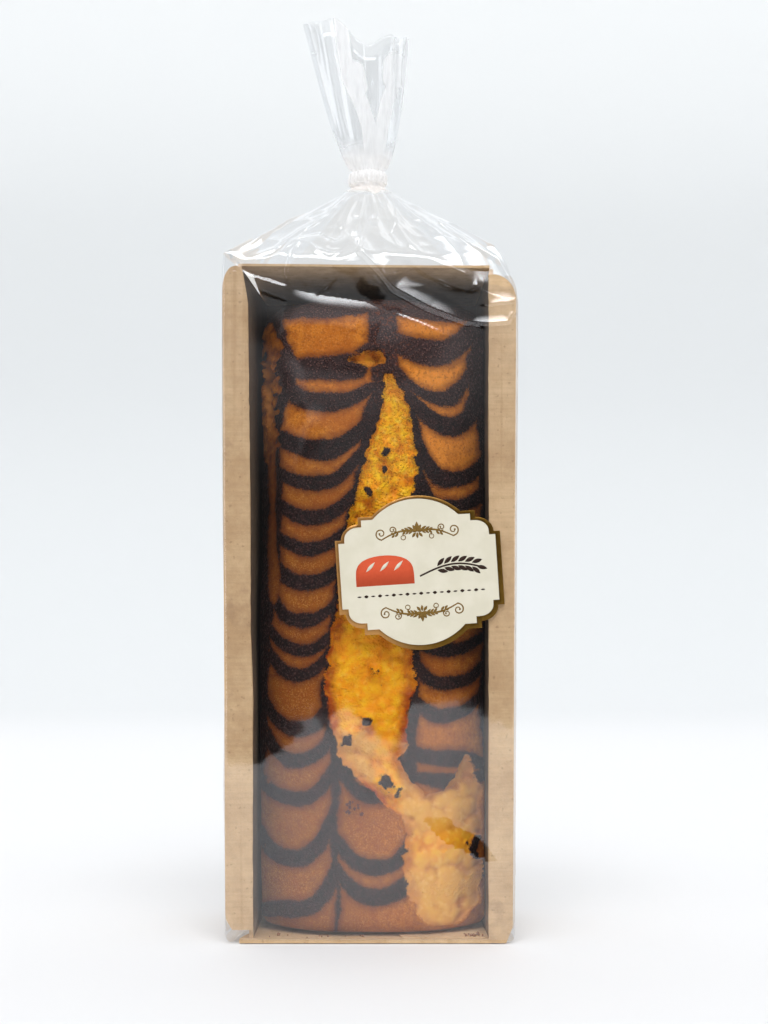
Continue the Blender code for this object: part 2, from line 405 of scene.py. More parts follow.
# %% Sizes of the tray
RIM_FRONT = FILM_FRONT + 0.35
WALL_FRONT = RIM_FRONT + BOARD
TRAY_BACK = 31.3
WALL_LOW, WALL_HIGH = 1.8, TRAY_TOP - 0.9  # the sides and the back stand between the end walls
RIM_ROWS = 120
BACK_HALF = 40.6
FOLD_RIGHT = 41.6
FOLD_LEFT = (
    (0, 86, 110, 177, 225, 237),  # heights
    (41.1, 41.1, 41.8, 42.2, 42.9, 45.0),  # how far left of the middle the fold is there
)


# %% Edges of the tray
def fold_left(z):
    """x of the left fold: it leans in from the top, mostly over the first 12 mm."""
    return -np.interp(z, *FOLD_LEFT)


def fold_right(z):
    """x of the right fold, which is straight."""
    return FOLD_RIGHT + 0 * z


def rim_left_outer(z):
    """x of the left rim's outer edge, rounded off at the top corner."""
    corner = np.clip((z - 229.0) / 8.6, 0, 1)
    foot = np.clip((9.0 - z) / 4.2, 0, 1)
    return -(mix(50.6, 51.8, z / TRAY_TOP) - 4.4 * (1 - np.sqrt(1 - corner**2)) - 2.4 * foot)


def rim_right_outer(z):
    """x of the right rim's outer edge, with a bigger round at the top and a cut foot."""
    corner = np.clip((z - 225.5) / 9.2, 0, 1)
    foot = np.clip((6.0 - z) / 6.0, 0, 1)
    return mix(50.0, 51.3, z / TRAY_TOP) - 8.6 * (1 - np.sqrt(1 - corner**2)) - 2.4 * foot


# %% Boards of the tray
def back_board():
    """The tray's back: a flat upright rectangle."""
    half = BACK_HALF + BOARD
    x, z = np.meshgrid(np.linspace(-half, half, 20), np.linspace(WALL_LOW, WALL_HIGH, 40))
    front = np.stack([x, TRAY_BACK - BOARD + 0 * x, z], axis=-1)
    return front, front + [0, BOARD, 0]


def side_board(fold, side):
    """A side wall: straight lines from the fold back to the back board, bowed a little."""
    z = np.linspace(WALL_LOW, WALL_HIGH, 60)
    y = np.linspace(WALL_FRONT + 0.2, TRAY_BACK - BOARD, 20)
    zz, yy = np.meshgrid(z, y, indexing="ij")
    share = (yy - WALL_FRONT) / (TRAY_BACK - WALL_FRONT)
    x = mix(fold(zz), side * BACK_HALF, share) + 0.15 * hills(zz, yy, 24, 30.0)
    inner = np.stack([x, yy, zz], axis=-1)
    outer = inner + [side * BOARD, 0, 0]
    return (inner, outer) if side > 0 else (inner[:, ::-1], outer[:, ::-1])


def rim_board(fold, outer, low, high):
    """A flat rim from a fold to its outer edge, both functions of height. The rows are closer
    near the rounded top corner, and the fold is nicked at random."""
    top = np.linspace(high - 11.7, high, 40)
    z = np.concatenate([np.linspace(low, high - 12, RIM_ROWS), top])
    across = np.linspace(0, 1, 7)
    nick = 0.16 * rough(z, 0 * z, 21, 5.0) + 0.5 * ramp(hills(z, 0 * z + 9, 22, 2.6), 0.62, 0.9)
    start = fold(z) + np.sign(fold(z)) * nick
    x = mix(start[:, None], outer(z)[:, None], across[None, :])
    zz = np.broadcast_to(z[:, None], x.shape)
    bow = 0.12 * hills(zz, x, 23, 40.0)
    front = np.stack([x, RIM_FRONT + 0.12 + bow, zz], axis=-1)
    back = front + [0, BOARD - 0.1, 0]
    return front, back


# %% End walls and flap
def add_end_walls(shells):
    """The two end walls, at the foot and the top, whose front edges show."""
    half = BACK_HALF + BOARD
    foot, top = (-45.8, 42.1, 0.25, 0.0, 31, BOARD), (-46.2, 41.9, 236.9, 0.5, 32, 0.8)
    for low_x, high_x, z, lift, seed, thick in (foot, top):
        x = np.linspace(0, 1, 60)
        y = np.linspace(RIM_FRONT + 0.15, TRAY_BACK, 20)
        yy, share = np.meshgrid(y, x, indexing="ij")
        depth = (yy - RIM_FRONT) / (TRAY_BACK - RIM_FRONT)
        xx = mix(mix(low_x, high_x, share), mix(-half, half, share), ramp(depth, 0, 0.25))
        height = z + lift * (1 - share) * (1 - depth)
        height = height + 0.12 * hills(xx, yy, seed, 25.0) * (lift > 0)
        low = np.stack([xx, yy, height], axis=-1)
        shells.add(*board_shell(low + [0, 0, thick], low))


def add_foot_flap(shells):
    """The flap that is glued to the foot. Its left end slants, and its back corner is round."""
    reach, corner = 22, 5
    yy, share = np.meshgrid(np.linspace(0, 1, 14), np.linspace(0, 1, 24), indexing="ij")
    into_corner = ((yy * reach - reach + corner) / corner).clip(0, 1)
    round_off = corner * (1 - np.sqrt(np.clip(1 - into_corner**2, 0, 1)))
    xx = mix(8.0 + round_off + 3 * (1 - yy), 40.9, share)
    low = np.stack([xx, RIM_FRONT + 1.2 + yy * reach, 0 * xx + 1.78], axis=-1)
    shells.add(*board_shell(low + [0, 0, 0.45], low))


# %% The whole tray
def build_tray(materials):
    """All boards in one mesh. The faces that look into the tray come first in each shell, and
    take the second material."""
    shells = Shells()
    front, back = rim_board(fold_left, rim_left_outer, 4.9, TRAY_TOP)
    shells.add(*board_shell(front[:, ::-1], back[:, ::-1]))
    shells.add(*board_shell(*rim_board(fold_right, rim_right_outer, 0.3, 234.6)))
    for side, fold in ((-1, fold_left), (1, fold_right)):
        shells.add(*board_shell(*side_board(fold, side)), first_kind=1)
    shells.add(*board_shell(*back_board()), first_kind=1)
    add_end_walls(shells)
    add_foot_flap(shells)
    thing = shells.piece("kraft_tray", materials)
    thing.data.set_sharp_from_angle(angle=math.radians(35))
    return thing


# %% [markdown]
# ### Kraft board, the finish
#
# Kraft board is brown paper over fine flutes. The flutes show through as faint level lines,
# the pulp is mottled, and short fibres lie all over it. So the colour is a mix of noise at
# several sizes, some of them stretched along or across the flutes. Inside the tray the same
# board is darker grey-brown by painted shade, a little less so on the foot.


# %% Kraft board
def make_kraft(name, shade):
    """Kraft board. shade is how strongly painted shade darkens it, a little less on the foot."""
    material, tree, shader, where = new_material(name)
    flutes = tree.noise(tree.stretch(where, (25, 25, 900)), 1.0, 1.0)
    streaks = tree.noise(tree.stretch(where, (300, 300, 6)), 1.0, 2.0)
    cloud = tree.noise(where, 42.0, 6.0, 0.7)
    fibres = tree.noise(tree.stretch(where, (1500, 1500, 900)), 1.0, 3.0, 0.7, 0.6)
    specks = grain(tree, where, 700.0, 0.70)
    mottle = tree.step(tree.noise(where, 260.0, 4.0, 0.6), 0.42, 0.64)
    stain = tree.step(tree.noise(where, 32.0, 5.0, 0.75), 0.58, 0.70)
    colour = tree.blend(tree.step(cloud, 0.32, 0.68), srgb(190, 155, 115), srgb(216, 185, 145))
    colour = tree.tint(colour, tree.step(flutes, 0.45, 0.6), 0.12, srgb(152, 120, 88))
    colour = tree.tint(colour, tree.step(streaks, 0.54, 0.68), 0.34, srgb(160, 120, 72))
    colour = tree.tint(colour, mottle, 0.14, srgb(150, 116, 82))
    colour = tree.tint(colour, stain, 0.4, srgb(140, 104, 78))
    colour = tree.tint(colour, fibres, 0.3, srgb(228, 202, 168))
    colour = tree.tint(colour, specks, 0.3, srgb(120, 86, 54))
    # Painted shade for the inside of the tray: a dark grey laid over the board, weaker on the foot.
    if shade:
        height = tree.axes(where)["Z"]
        painted_shade = tree.times(tree.span(tree.step(height, 0.002, 0.014), 0.62, 1.0), shade)
        colour = tree.blend(painted_shade, colour, srgb(50, 45, 45))
    normal = tree.bump(tree.math("ADD", flutes, fibres), 0.00016, 0.6)
    connect(tree, shader, Base_Color=colour, Roughness=tree.span(fibres, 0.72, 0.92), Normal=normal)
    shader.inputs["Specular IOR Level"].default_value = 0.2
    return material


KRAFT = make_kraft("kraft_board", 0.0)
KRAFT_INSIDE = make_kraft("kraft_inside", 0.8)
kraft_tray = build_tray([KRAFT, KRAFT_INSIDE])
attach(kraft_tray, "root")

# %% [markdown]
# ## The loaf
#
# The loaf is one closed form: rings that run round it, stacked from its foot to its top end.
# Its domed crust faces the front. The batter was poured in layers of plain and chocolate and
# drawn through with a skewer, which pulls the bands up into cusps along each drawn line. So the
# bands are a rule: a list of heights, sagging between two seams. Where the crust split, a
# crack shows yellow crumb, and low on the right a piece of crust is torn away.

# %% Sizes of the loaf
CAKE_FOOT, CAKE_TOP = 2.6, 228.4
CAKE_LEFT, CAKE_RIGHT = -39.6, 40.9
SWELL_LEFT, SWELL_RIGHT = -41.0, 41.3  # as far as its roughness may reach, at the tray's walls
CAKE_FRONT = FILM_FRONT + 2.3
CAKE_BACK = 29.2
DOME_FALL = 15.0  # how far the crust curves back from its crown to its sides
FRONT_COLUMNS, SIDE_COLUMNS, BACK_COLUMNS = 168, 20, 18
CAKE_ROWS = 400

# Along the loaf: height, dark left margin, inner seam on the left, inner seam on the right,
# dark right margin
SEAMS = np.array(
    [
        (230, -31.5, 2.0, 6.5, 38.0),
        (214, -29.5, 2.3, 6.8, 36.0),
        (206, -26.3, 3.5, 7.4, 34.0),
        (196, -26.2, 5.6, 10.0, 34.2),
        (188, -30.5, 2.5, 14.2, 37.5),
        (180, -32.0, 0.6, 15.4, 39.0),
        (166, -31.6, -2.3, 16.2, 39.5),
        (150, -31.4, -6.6, 15.4, 39.5),
        (130, -32.8, -10.5, 15.0, 39.5),
        (113, -35.2, -13.0, 15.0, 39.5),
        (100, -36.6, -14.6, 15.1, 39.8),
        (89, -36.8, -16.0, 15.0, 39.8),
        (76, -36.2, -14.8, 13.6, 39.8),
        (64, -38.0, -13.0, 13.8, 40.5),
        (50, -40.0, -12.6, 15.0, 43.0),
        (0, -42.0, -11.4, 15.6, 44.0),
    ]
)[::-1]

# %% Chocolate bands
# From the top: height of the lowest part, thickness there, and how far the
# left and the right end rise above it
LEFT_BANDS = (
    (222.6, 5.6, 0.5, 1.5), (202.7, 8.8, 0.0, 0.0), (190.9, 6.6, 4.0, 13.0),
    (173.8, 7.6, 4.5, 12.0), (162.1, 6.0, 4.5, 12.5), (149.9, 5.9, 4.5, 9.0),
    (138.8, 5.7, 4.5, 7.0), (126.3, 6.2, 4.5, 6.0), (113.0, 5.0, 6.5, 6.0),
    (102.9, 5.0, 6.5, 6.0), (93.9, 5.3, 7.5, 8.5), (75.2, 6.0, 7.0, 6.0),
    (63.9, 5.5, 8.0, 9.0), (49.9, 5.8, 6.0, 11.0), (28.7, 6.2, 9.5, 17.0),
    (10.5, 6.2, -4.0, 15.0),
)  # fmt: skip
RIGHT_BANDS = (
    (222.2, 6.0, 1.0, 2.0), (207.9, 9.4, 4.0, 10.5), (191.8, 5.4, 11.0, 9.0),
    (182.4, 7.4, 12.0, 8.0), (163.0, 6.4, 15.0, 5.0), (152.9, 5.5, 15.0, 5.0),
    (141.4, 6.0, 9.0, 6.0), (128.0, 6.2, 8.0, 6.0), (115.0, 5.6, 7.0, 6.0),
    (103.0, 5.0, 4.0, 4.0), (90.4, 5.5, 9.5, 6.0), (79.1, 5.5, 7.0, 6.0),
    (63.6, 6.2, 4.5, -3.0), (56.1, 5.2, 3.0, 1.5), (18.0, 5.5, 3.0, 6.0),
)  # fmt: skip
CENTRE_BANDS = ((51.7, 5.4, 11.0, 5.0), (26.1, 5.6, 11.0, 11.0), (16.0, 6.4, 10.0, 8.0))

# %% Where the crust is gone
# Height, left edge, right edge
CRACK = np.array(
    [
        (200.5, 6.2, 6.4), (197.0, 5.8, 8.6), (191.0, 5.3, 12.6), (180.0, 0.9, 15.1),
        (166.0, -2.2, 16.2), (150.0, -6.6, 15.2), (130.0, -10.2, 15.0), (106.0, -14.2, 15.1),
        (89.0, -16.0, 15.0), (78.0, -15.4, 13.4), (71.0, -13.0, 12.0), (64.0, -9.2, 11.4),
        (58.0, -4.6, 13.6), (53.0, 0.6, 17.0), (49.0, 4.5, 20.0), (45.0, 11.0, 20.0),
    ]
)[::-1]  # fmt: skip
TEAR = np.array(
    [
        (67.0, 33.4, 33.8), (62.0, 31.6, 37.0), (57.0, 29.0, 38.6), (53.0, 24.7, 39.4),
        (50.5, 18.0, 39.6), (48.5, 11.5, 39.8), (40.0, 12.4, 39.9), (30.0, 12.0, 39.9),
        (20.0, 13.0, 39.2), (12.0, 16.0, 37.5), (7.5, 20.0, 33.0), (5.0, 24.0, 28.0),
    ]
)[::-1]  # fmt: skip


# %% The loaf's form
def cake_section(z, inset):
    """Points round the loaf at heights z, each a share of the way round. The front is a dome,
    y = crown + fall * |share|^3.2, and the sides run back from it nearly straight."""
    share = np.linspace(-1, 1, FRONT_COLUMNS)[None, :]
    middle = (CAKE_LEFT + CAKE_RIGHT) / 2
    sway = 0.5 * hills(z, 0 * z, 41, 45.0)
    half = (CAKE_RIGHT - CAKE_LEFT) / 2 - inset
    x = middle + sway + share * half
    fall = DOME_FALL * np.abs(share) ** 3.2
    shoulder = 9.0 * ramp(-x, 29.5, 41.0) * ramp(z, 112, 150)
    y = CAKE_FRONT + fall + shoulder + inset * 1.05
    front = np.stack([x, y, np.broadcast_to(z, x.shape)], axis=-1)
    back_y = CAKE_BACK - 0.5 * inset
    taper = 2.2
    t = np.linspace(0, 1, SIDE_COLUMNS + 2)[None, 1:-1]
    sides = []
    for end, sign in ((front[:, -1], -1), (front[:, 0], 1)):
        sx = end[:, :1] + sign * taper * t
        sy = mix(end[:, 1:2], back_y, t)
        sides.append(np.stack([sx, sy, np.broadcast_to(z, sx.shape)], axis=-1))
    t = np.linspace(0, 1, BACK_COLUMNS)[None, :]
    right = front[:, -1, :1] - taper
    left = front[:, 0, :1] + taper
    bx = mix(right, left, t)
    back = np.stack([bx, back_y + 0 * bx, np.broadcast_to(z, bx.shape)], axis=-1)
    return np.concatenate([front, sides[0], back, sides[1][:, ::-1]], axis=1)


def cake_rows():
    """Heights and insets of the rings: upright sides, and a quarter circle at each end."""
    turn = np.linspace(0.02, 1, 16) * math.pi / 2
    foot_round, top_round = 6.0, 12.0
    foot_inset = foot_round * (1 - np.cos(turn))[::-1]
    foot_z = CAKE_FOOT + foot_round * (1 - np.sin(turn[::-1]))
    top_z = CAKE_TOP - top_round * (1 - np.sin(turn))
    top_inset = top_round * (1 - np.cos(turn))
    count = CAKE_ROWS - 2 * len(turn)
    middle_z = np.linspace(CAKE_FOOT + foot_round, CAKE_TOP - top_round, count + 2)[1:-1]
    z = np.concatenate([foot_z, middle_z, top_z])
    inset = np.concatenate([foot_inset, 0 * middle_z, top_inset])
    return z[:, None], inset[:, None]


def normals_of(grid):
    """Unit normals of a grid that wraps across: the cross product of its two directions."""
    padded = np.concatenate([grid[:, -1:], grid, grid[:, :1]], axis=1)
    across = padded[:, 2:] - padded[:, :-2]
    along = np.gradient(grid, axis=0)
    normal = np.cross(across, along)
    return normal / np.maximum(np.linalg.norm(normal, axis=-1, keepdims=True), 1e-9)


# %% Bands as a rule
def at_height(table, z, column):
    """A column of a table, read at heights z with straight lines between its rows."""
    return np.interp(z, table[:, 0], table[:, column])


def band_field(x, z, left, right, bands):
    """How far inside a chocolate band each point is, in mm. A band's middle line is
    height + rise * |share|^2.3, where share runs from -1 to 1 across the column. The gap to the
    line is measured square to it, and the band thins towards its ends."""
    half = np.maximum((right - left) / 2, 1.0)
    share = np.clip((x - (left + right) / 2) / half, -1.3, 1.3)
    far = np.abs(share)
    field = np.full(x.shape, -9.0)
    for height, thick, rise_left, rise_right in bands:
        rise = np.where(share < 0, rise_left, rise_right)
        slope = 2.3 * rise * far**1.3 / half
        gap = np.abs(z - height - rise * far**2.3) / np.sqrt(1 + slope**2)
        field = np.maximum(field, thick / 2 * (1 - 0.28 * np.minimum(far, 1)) - gap)
    return field


# %% Chocolate seams and the orange side
# Half widths of the chocolate along the two inner seams: heights, then the half widths there
LEFT_SEAM = (
    (0, 20, 60, 75, 90, 150, 172, 186, 202, 206),
    (0.7, 1.0, 1.2, 1.2, 1.2, 1.6, 2.2, 4.8, 4.2, 3),
)
RIGHT_SEAM = (
    (0, 46, 60, 90, 150, 172, 186, 202, 206),
    (-2, -2, 2.2, 2.4, 2.8, 2.8, 2.4, 2.2, 3),
)


def dark_edges(x, z):
    """The chocolate that runs along the seams, beside the crack and down both sides: a half
    width less the distance from the seam."""
    wander = 0.8 * rough(x, z, 55, 6.0)
    left, right = at_height(SEAMS, z, 2), at_height(SEAMS, z, 3)
    left_wide, right_wide = np.interp(z, *LEFT_SEAM), np.interp(z, *RIGHT_SEAM)
    field = np.maximum(left_wide - np.abs(x - left), right_wide - np.abs(x - right)) + wander
    field = np.maximum(field, at_height(SEAMS, z, 1) - x + wander)
    return np.maximum(field, x - at_height(SEAMS, z, 4) + wander)


def side_orange(x, z):
    """Orange on the left side of the loaf: a rough patch above and one thin line below it."""
    patch = 4.4 - np.abs(x + 37.0) - 6 * (1 - ramp(z, 166, 180)) - 8 * ramp(z, 217, 226)
    patch += 3.4 * rough(x, z, 57, 4.0) - 3 * ramp(hills(x, z, 59, 2.4), 0.4, 0.7)
    line = 1.6 - np.abs(x + 35.2) + 0.6 * hills(z, x, 58, 7.0) - 6 * (1 - ramp(z, 112, 122))
    return np.maximum(patch, line - 6 * ramp(z, 180, 186))


# %% The whole marbling
def marbling(x, z):
    """Signed distance in mm to the nearest chocolate edge: above nought is chocolate."""
    wx = x + 1.3 * rough(x, z, 51, 16.0, 2) + 0.3 * rough(x, z, 52, 3.5)
    wz = z + 1.2 * rough(x, z, 53, 15.0, 2) + 0.3 * rough(x, z, 54, 4.0)
    margin_left, left, right, margin_right = [at_height(SEAMS, z, k) for k in (1, 2, 3, 4)]
    on_left = band_field(wx, wz, margin_left, left, LEFT_BANDS)
    on_right = band_field(wx, wz, right, np.minimum(margin_right, 41), RIGHT_BANDS)
    centre = band_field(wx, wz, left, right, CENTRE_BANDS)
    field = np.where(wx < left, on_left, np.where(wx > right, on_right, centre))
    arm = 2.6 - np.abs(wz - 208.5 - 0.12 * (wx - 4)) - 3.2 * ramp(-wx, -1.0, 8.0)
    field = np.maximum(field, np.where(wx < left + 2, arm, -9))
    tongue = ramp(wx, -4.0, 2.0) * ramp(wz, 196.5, 199.0) * (1 - ramp(wz, 205, 207))
    field = np.where(wx < left - 2.0, field - 5.0 * tongue, field)
    closed = (wx > left) & (wx < right) & (z > 58)
    field = np.maximum(np.where(closed, 1.2, field), dark_edges(wx, z))
    field = np.maximum(field, wz - 224.4)
    return np.minimum(field, -side_orange(wx, z))


# %% Open crumb
# Spots of chocolate that stand in the crumb: x, height, radius
SPOTS = (
    (5.2, 57.2, 1.9), (7.0, 55.6, 1.6), (-4.3, 53.6, 1.6), (5.9, 172.6, 1.3), (5.3, 166.5, 0.9),
    (-0.4, 159.0, 1.7), (38.6, 31.6, 4.4), (10.0, 52.5, 1.3), (1.5, 95.2, 1.1), (-1.6, 78.0, 1.3),
    (-8.4, 71.2, 1.9),
)  # fmt: skip


def open_crumb(x, z):
    """Signed distance in mm to the edge of the crack or the tear: above nought is crumb.
    A few spots of chocolate are left standing in it."""
    ragged = 2.0 * rough(x, z, 61, 6.5) + 1.1 * rough(x, z, 62, 1.9)
    field = np.full(np.shape(x), -9.0)
    for table in (CRACK, TEAR):
        left, right = at_height(table, z, 1), at_height(table, z, 2)
        inside = np.minimum(x - left, right - x) + ragged
        inside = np.where((z > table[-1, 0]) | (z < table[0, 0]), -9.0, inside)
        field = np.maximum(field, inside)
    wedge = 2.6 * ramp(x, -10.0, 0.0) - np.abs(z - 205.8 - 0.1 * x) - 4 * ramp(-x, 7.5, 10.5)
    piece = np.minimum(wedge, 5.8 - x - 0.6 * np.abs(z - 205.0)) + 0.4 * ragged
    side = 1.8 - np.abs(x + 37.3) + 1.7 * ragged - 8 * ramp(np.abs(z - 193), 12, 18)
    field = np.maximum(field, np.maximum(side, piece))
    outline = field
    for spot_x, spot_z, radius in SPOTS:
        away = np.hypot(x - spot_x, z - spot_z) - radius + 1.1 * hills(x, z, 63, 1.7)
        field = np.minimum(field, away)
    return field, outline


# %% The loaf's surface
def crumb_bed(x, z):
    """The torn crumb: round clumps at two sizes, with holes between them."""
    lumps = 1.3 * clumps(x, z, 74, 5.6) + 0.3 * clumps(x + 40, z, 76, 3.0)
    holes = 0.8 * ramp(hills(x, z, 75, 3.6), 0.62, 0.9)
    return lumps + 0.8 * rough(x, z, 73, 9.0, 2) - holes - 0.9


def cake_relief(x, z, cocoa, crumb, front):
    """How far the surface stands out in mm: soft lumps, a coarse grain that is deeper in the
    chocolate, and in the crack a sunken bed of crumb with raised lips. A lip is a bell curve of
    the distance to the crack's edge."""
    dark = ramp(cocoa, -0.3, 0.5)
    bare = ramp(crumb, -0.1, 0.8) * front
    lumps = 0.5 * rough(x, z, 71, 22.0)
    grain_height = mix(0.07, 0.24, dark) * rough(x, z, 72, 1.4, 2) + 0.2 * dark
    lip = 0.6 * np.exp(-((crumb + 1.1) ** 2) / 1.2) * front
    torn = ramp(x, 11, 15) * ramp(-z, -60, -48)
    sunken = mix(-0.9 - 1.6 * ramp(crumb, -0.2, 3.0), -0.5, torn)
    bed = sunken + crumb_bed(x, z) * mix(1.0, 0.7, torn)
    return lumps + mix(grain_height + lip, bed, bare)


# %% Round the loaf
def carried_round(grid):
    """x on the front, carried on round the sides and the back as the distance travelled round
    the loaf, so that the bands go on from the front without a break."""
    x = grid[..., 0]
    last = slice(FRONT_COLUMNS - 1, FRONT_COLUMNS)
    steps = np.linalg.norm(np.diff(grid, axis=1, append=grid[:, :1])[..., :2], axis=-1)
    travelled = np.concatenate([0 * x[:, :1], np.cumsum(steps, axis=1)[:, :-1]], axis=1)
    round_right = x[:, last] + travelled - travelled[:, last]
    round_left = x[:, :1] - (steps.sum(axis=1, keepdims=True) - travelled)
    number = np.arange(grid.shape[1])[None, :]
    half_back = FRONT_COLUMNS + SIDE_COLUMNS + BACK_COLUMNS // 2
    behind = np.where(number < half_back, round_right, round_left)
    return np.where(number < FRONT_COLUMNS, x, behind)


def end_cap(ring, lift):
    """Rings that close an end: they shrink in even steps to its middle, and rise as a sine."""
    shares = np.linspace(0, 1, 8)[1:-1][:, None, None]
    cap = mix(ring[None], ring.mean(axis=0)[None, None], shares)
    cap[..., 2] += lift * np.sin(shares[..., 0] * math.pi / 2)
    return cap


def with_ends(field, cap_rows):
    """A field of the upright rings, carried on over both caps and their poles."""
    low, high = np.repeat(field[:1], cap_rows, 0), np.repeat(field[-1:], cap_rows, 0)
    rows = np.concatenate([low, field, high])
    return np.concatenate([rows.ravel(), [field[0].mean(), field[-1].mean()]])


# %% The whole loaf
def build_loaf(material):
    """Rings pushed out along their normals by the relief, and six numbers at each point: the
    depth in chocolate, in crumb and within the crumb's outline, how sunken the crumb is, which
    sets its painted shade in the pits, and how pale and how toasted the crumb is."""
    grid = cake_section(*cake_rows())
    x, z = carried_round(grid), grid[..., 2]
    front = (np.arange(grid.shape[1]) < FRONT_COLUMNS) * np.ones_like(z)
    cocoa = marbling(x, z)
    crumb, outline = [np.where(front > 0, field, -9.0) for field in open_crumb(x, z)]
    cocoa = np.where((outline > 0.4) & (crumb < 0.2), np.maximum(cocoa, 1.0), cocoa)
    # How sunken the crumb is, for painted shade in its pits.
    pit_shade = np.where(crumb > 0, 0.25 - crumb_bed(x, z), 0)
    pale = ramp(12 - np.hypot(x + 6.5, (z - 66) * 1.1) + 7 * rough(x, z, 78, 6.0), 0, 6)
    pale += 0.9 * ramp(x, 9, 13) * (z < 70) * (1 - 0.8 * np.exp(-(((z - 34) / 6) ** 2)))
    toast = ramp(-x, 33, 35) + 0.7 * ramp(z, 188, 202)
    fields = {"cocoa": cocoa, "crumb": crumb, "pit_shade": pit_shade, "pale": pale, "toast": toast}
    fields["outline"] = outline

    relief = cake_relief(x, z, cocoa, crumb, front)
    relief *= ramp(z, CAKE_FOOT, CAKE_FOOT + 2) * 0.9 + 0.1
    relief *= 1 - 0.8 * ramp(grid[..., 1], CAKE_BACK - 3, CAKE_BACK)
    grid = grid + normals_of(grid) * relief[..., None]
    lowest = (SWELL_LEFT, FILM_FRONT + 0.6, 0)
    grid = grid.clip(lowest, (SWELL_RIGHT, CAKE_BACK + 0.4, TRAY_TOP))

    foot, top = end_cap(grid[0], -0.4), end_cap(grid[-1], 2.2)
    points, faces = tube_shell(np.concatenate([foot[::-1], grid, top]))
    values = {name: with_ends(field, len(foot)) for name, field in fields.items()}
    return make_piece("marble_loaf", points, faces, [material], values=values)


# %% [markdown]
# ### Cake, the finish
#
# The mesh carries six numbers at each point, such as how deep it is in a chocolate band or in
# open crumb. The shader turns them into colour, and adds noise to the depths first, so the edges
# are as soft and grainy as in baked batter. A painted picture could show the same, but a rule
# stays sharp from close by. Plain crust is a browned orange, with painted light high on the right
# and painted shade lower down. The chocolate is nearly black and coarse, and dusty near the top,
# where its grains also carry painted glints and a painted sheen. The crumb is yellow, with painted
# highlights, painted shade in its pits and low down, and brown edges.


# %% Plain crust
def crust_colour(tree, where, fine, medium, broad, cocoa):
    """Browned plain crust. Painted light makes it paler high on the loaf's right half, and painted
    shade makes it darker below about 170 mm, most on the left."""
    across, _, height = tree.axes(where)
    crust = tree.blend(tree.step(broad, 0.35, 0.68), srgb(206, 118, 30), srgb(234, 146, 44))
    crust = tree.blend(tree.step(medium, 0.35, 0.75), crust, srgb(188, 102, 22))
    # Painted shade below about 170 mm, stronger on the left.
    painted_shade_low = tree.rest(tree.step(height, 0.15, 0.2))
    left = tree.span(tree.step(across, -0.02, 0.015), 0.72, 0.42)
    crust = tree.tint(crust, painted_shade_low, left, srgb(112, 58, 16))
    # Painted light high on the right.
    painted_light_high = tree.times(tree.step(across, 0.0, 0.02), tree.step(height, 0.15, 0.175))
    crust = tree.tint(crust, painted_light_high, 0.5, srgb(250, 158, 56))
    crust = tree.tint(crust, tree.step(fine, 0.5, 0.7), 0.3, srgb(250, 182, 96))
    pores = grain(tree, where, 1100.0, 0.58)
    crust = tree.tint(crust, pores, 0.42, srgb(150, 76, 22))
    stain = tree.step(tree.noise(where, 85.0, 4.0, 0.7), 0.5, 0.66)
    crust = tree.tint(crust, stain, 0.4, srgb(156, 78, 20))
    near_chocolate = tree.step(cocoa, -2.8, -0.2)
    return tree.tint(crust, near_chocolate, 0.62, srgb(104, 48, 24))


# %% Chocolate
def chocolate_colour(tree, where, fine, medium, grit):
    """Dark batter that dried to a coarse grit. Its grains are lighter, partly dust and partly
    painted glints, more so near the top of the loaf, where a lighter tint is partly dust and partly
    a painted sheen. Beside the crack's upper end it carries flecks of plain crumb."""
    across, _, height = tree.axes(where)
    high = tree.step(height, 0.178, 0.213)
    choc = tree.blend(tree.step(medium, 0.35, 0.7), srgb(20, 6, 6), srgb(42, 18, 16))
    # Lighter near the top: partly dust, partly a painted sheen.
    choc = tree.tint(choc, high, 0.26, srgb(98, 70, 68))
    # Light grains: partly dust, partly painted glints.
    dust_and_glints = tree.times(grit, tree.step(fine, 0.36, 0.6), tree.span(high, 0.26, 0.85))
    choc = tree.blend(dust_and_glints, choc, srgb(132, 94, 88))
    from_crack = tree.math("ABSOLUTE", tree.math("SUBTRACT", across, 0.006))
    ridge = tree.times(high, tree.rest(tree.step(from_crack, 0.002, 0.012)))
    flecks = tree.times(tree.step(tree.noise(where, 900.0, 2.0), 0.54, 0.66), ridge)
    return tree.tint(choc, flecks, 0.55, srgb(138, 70, 36))


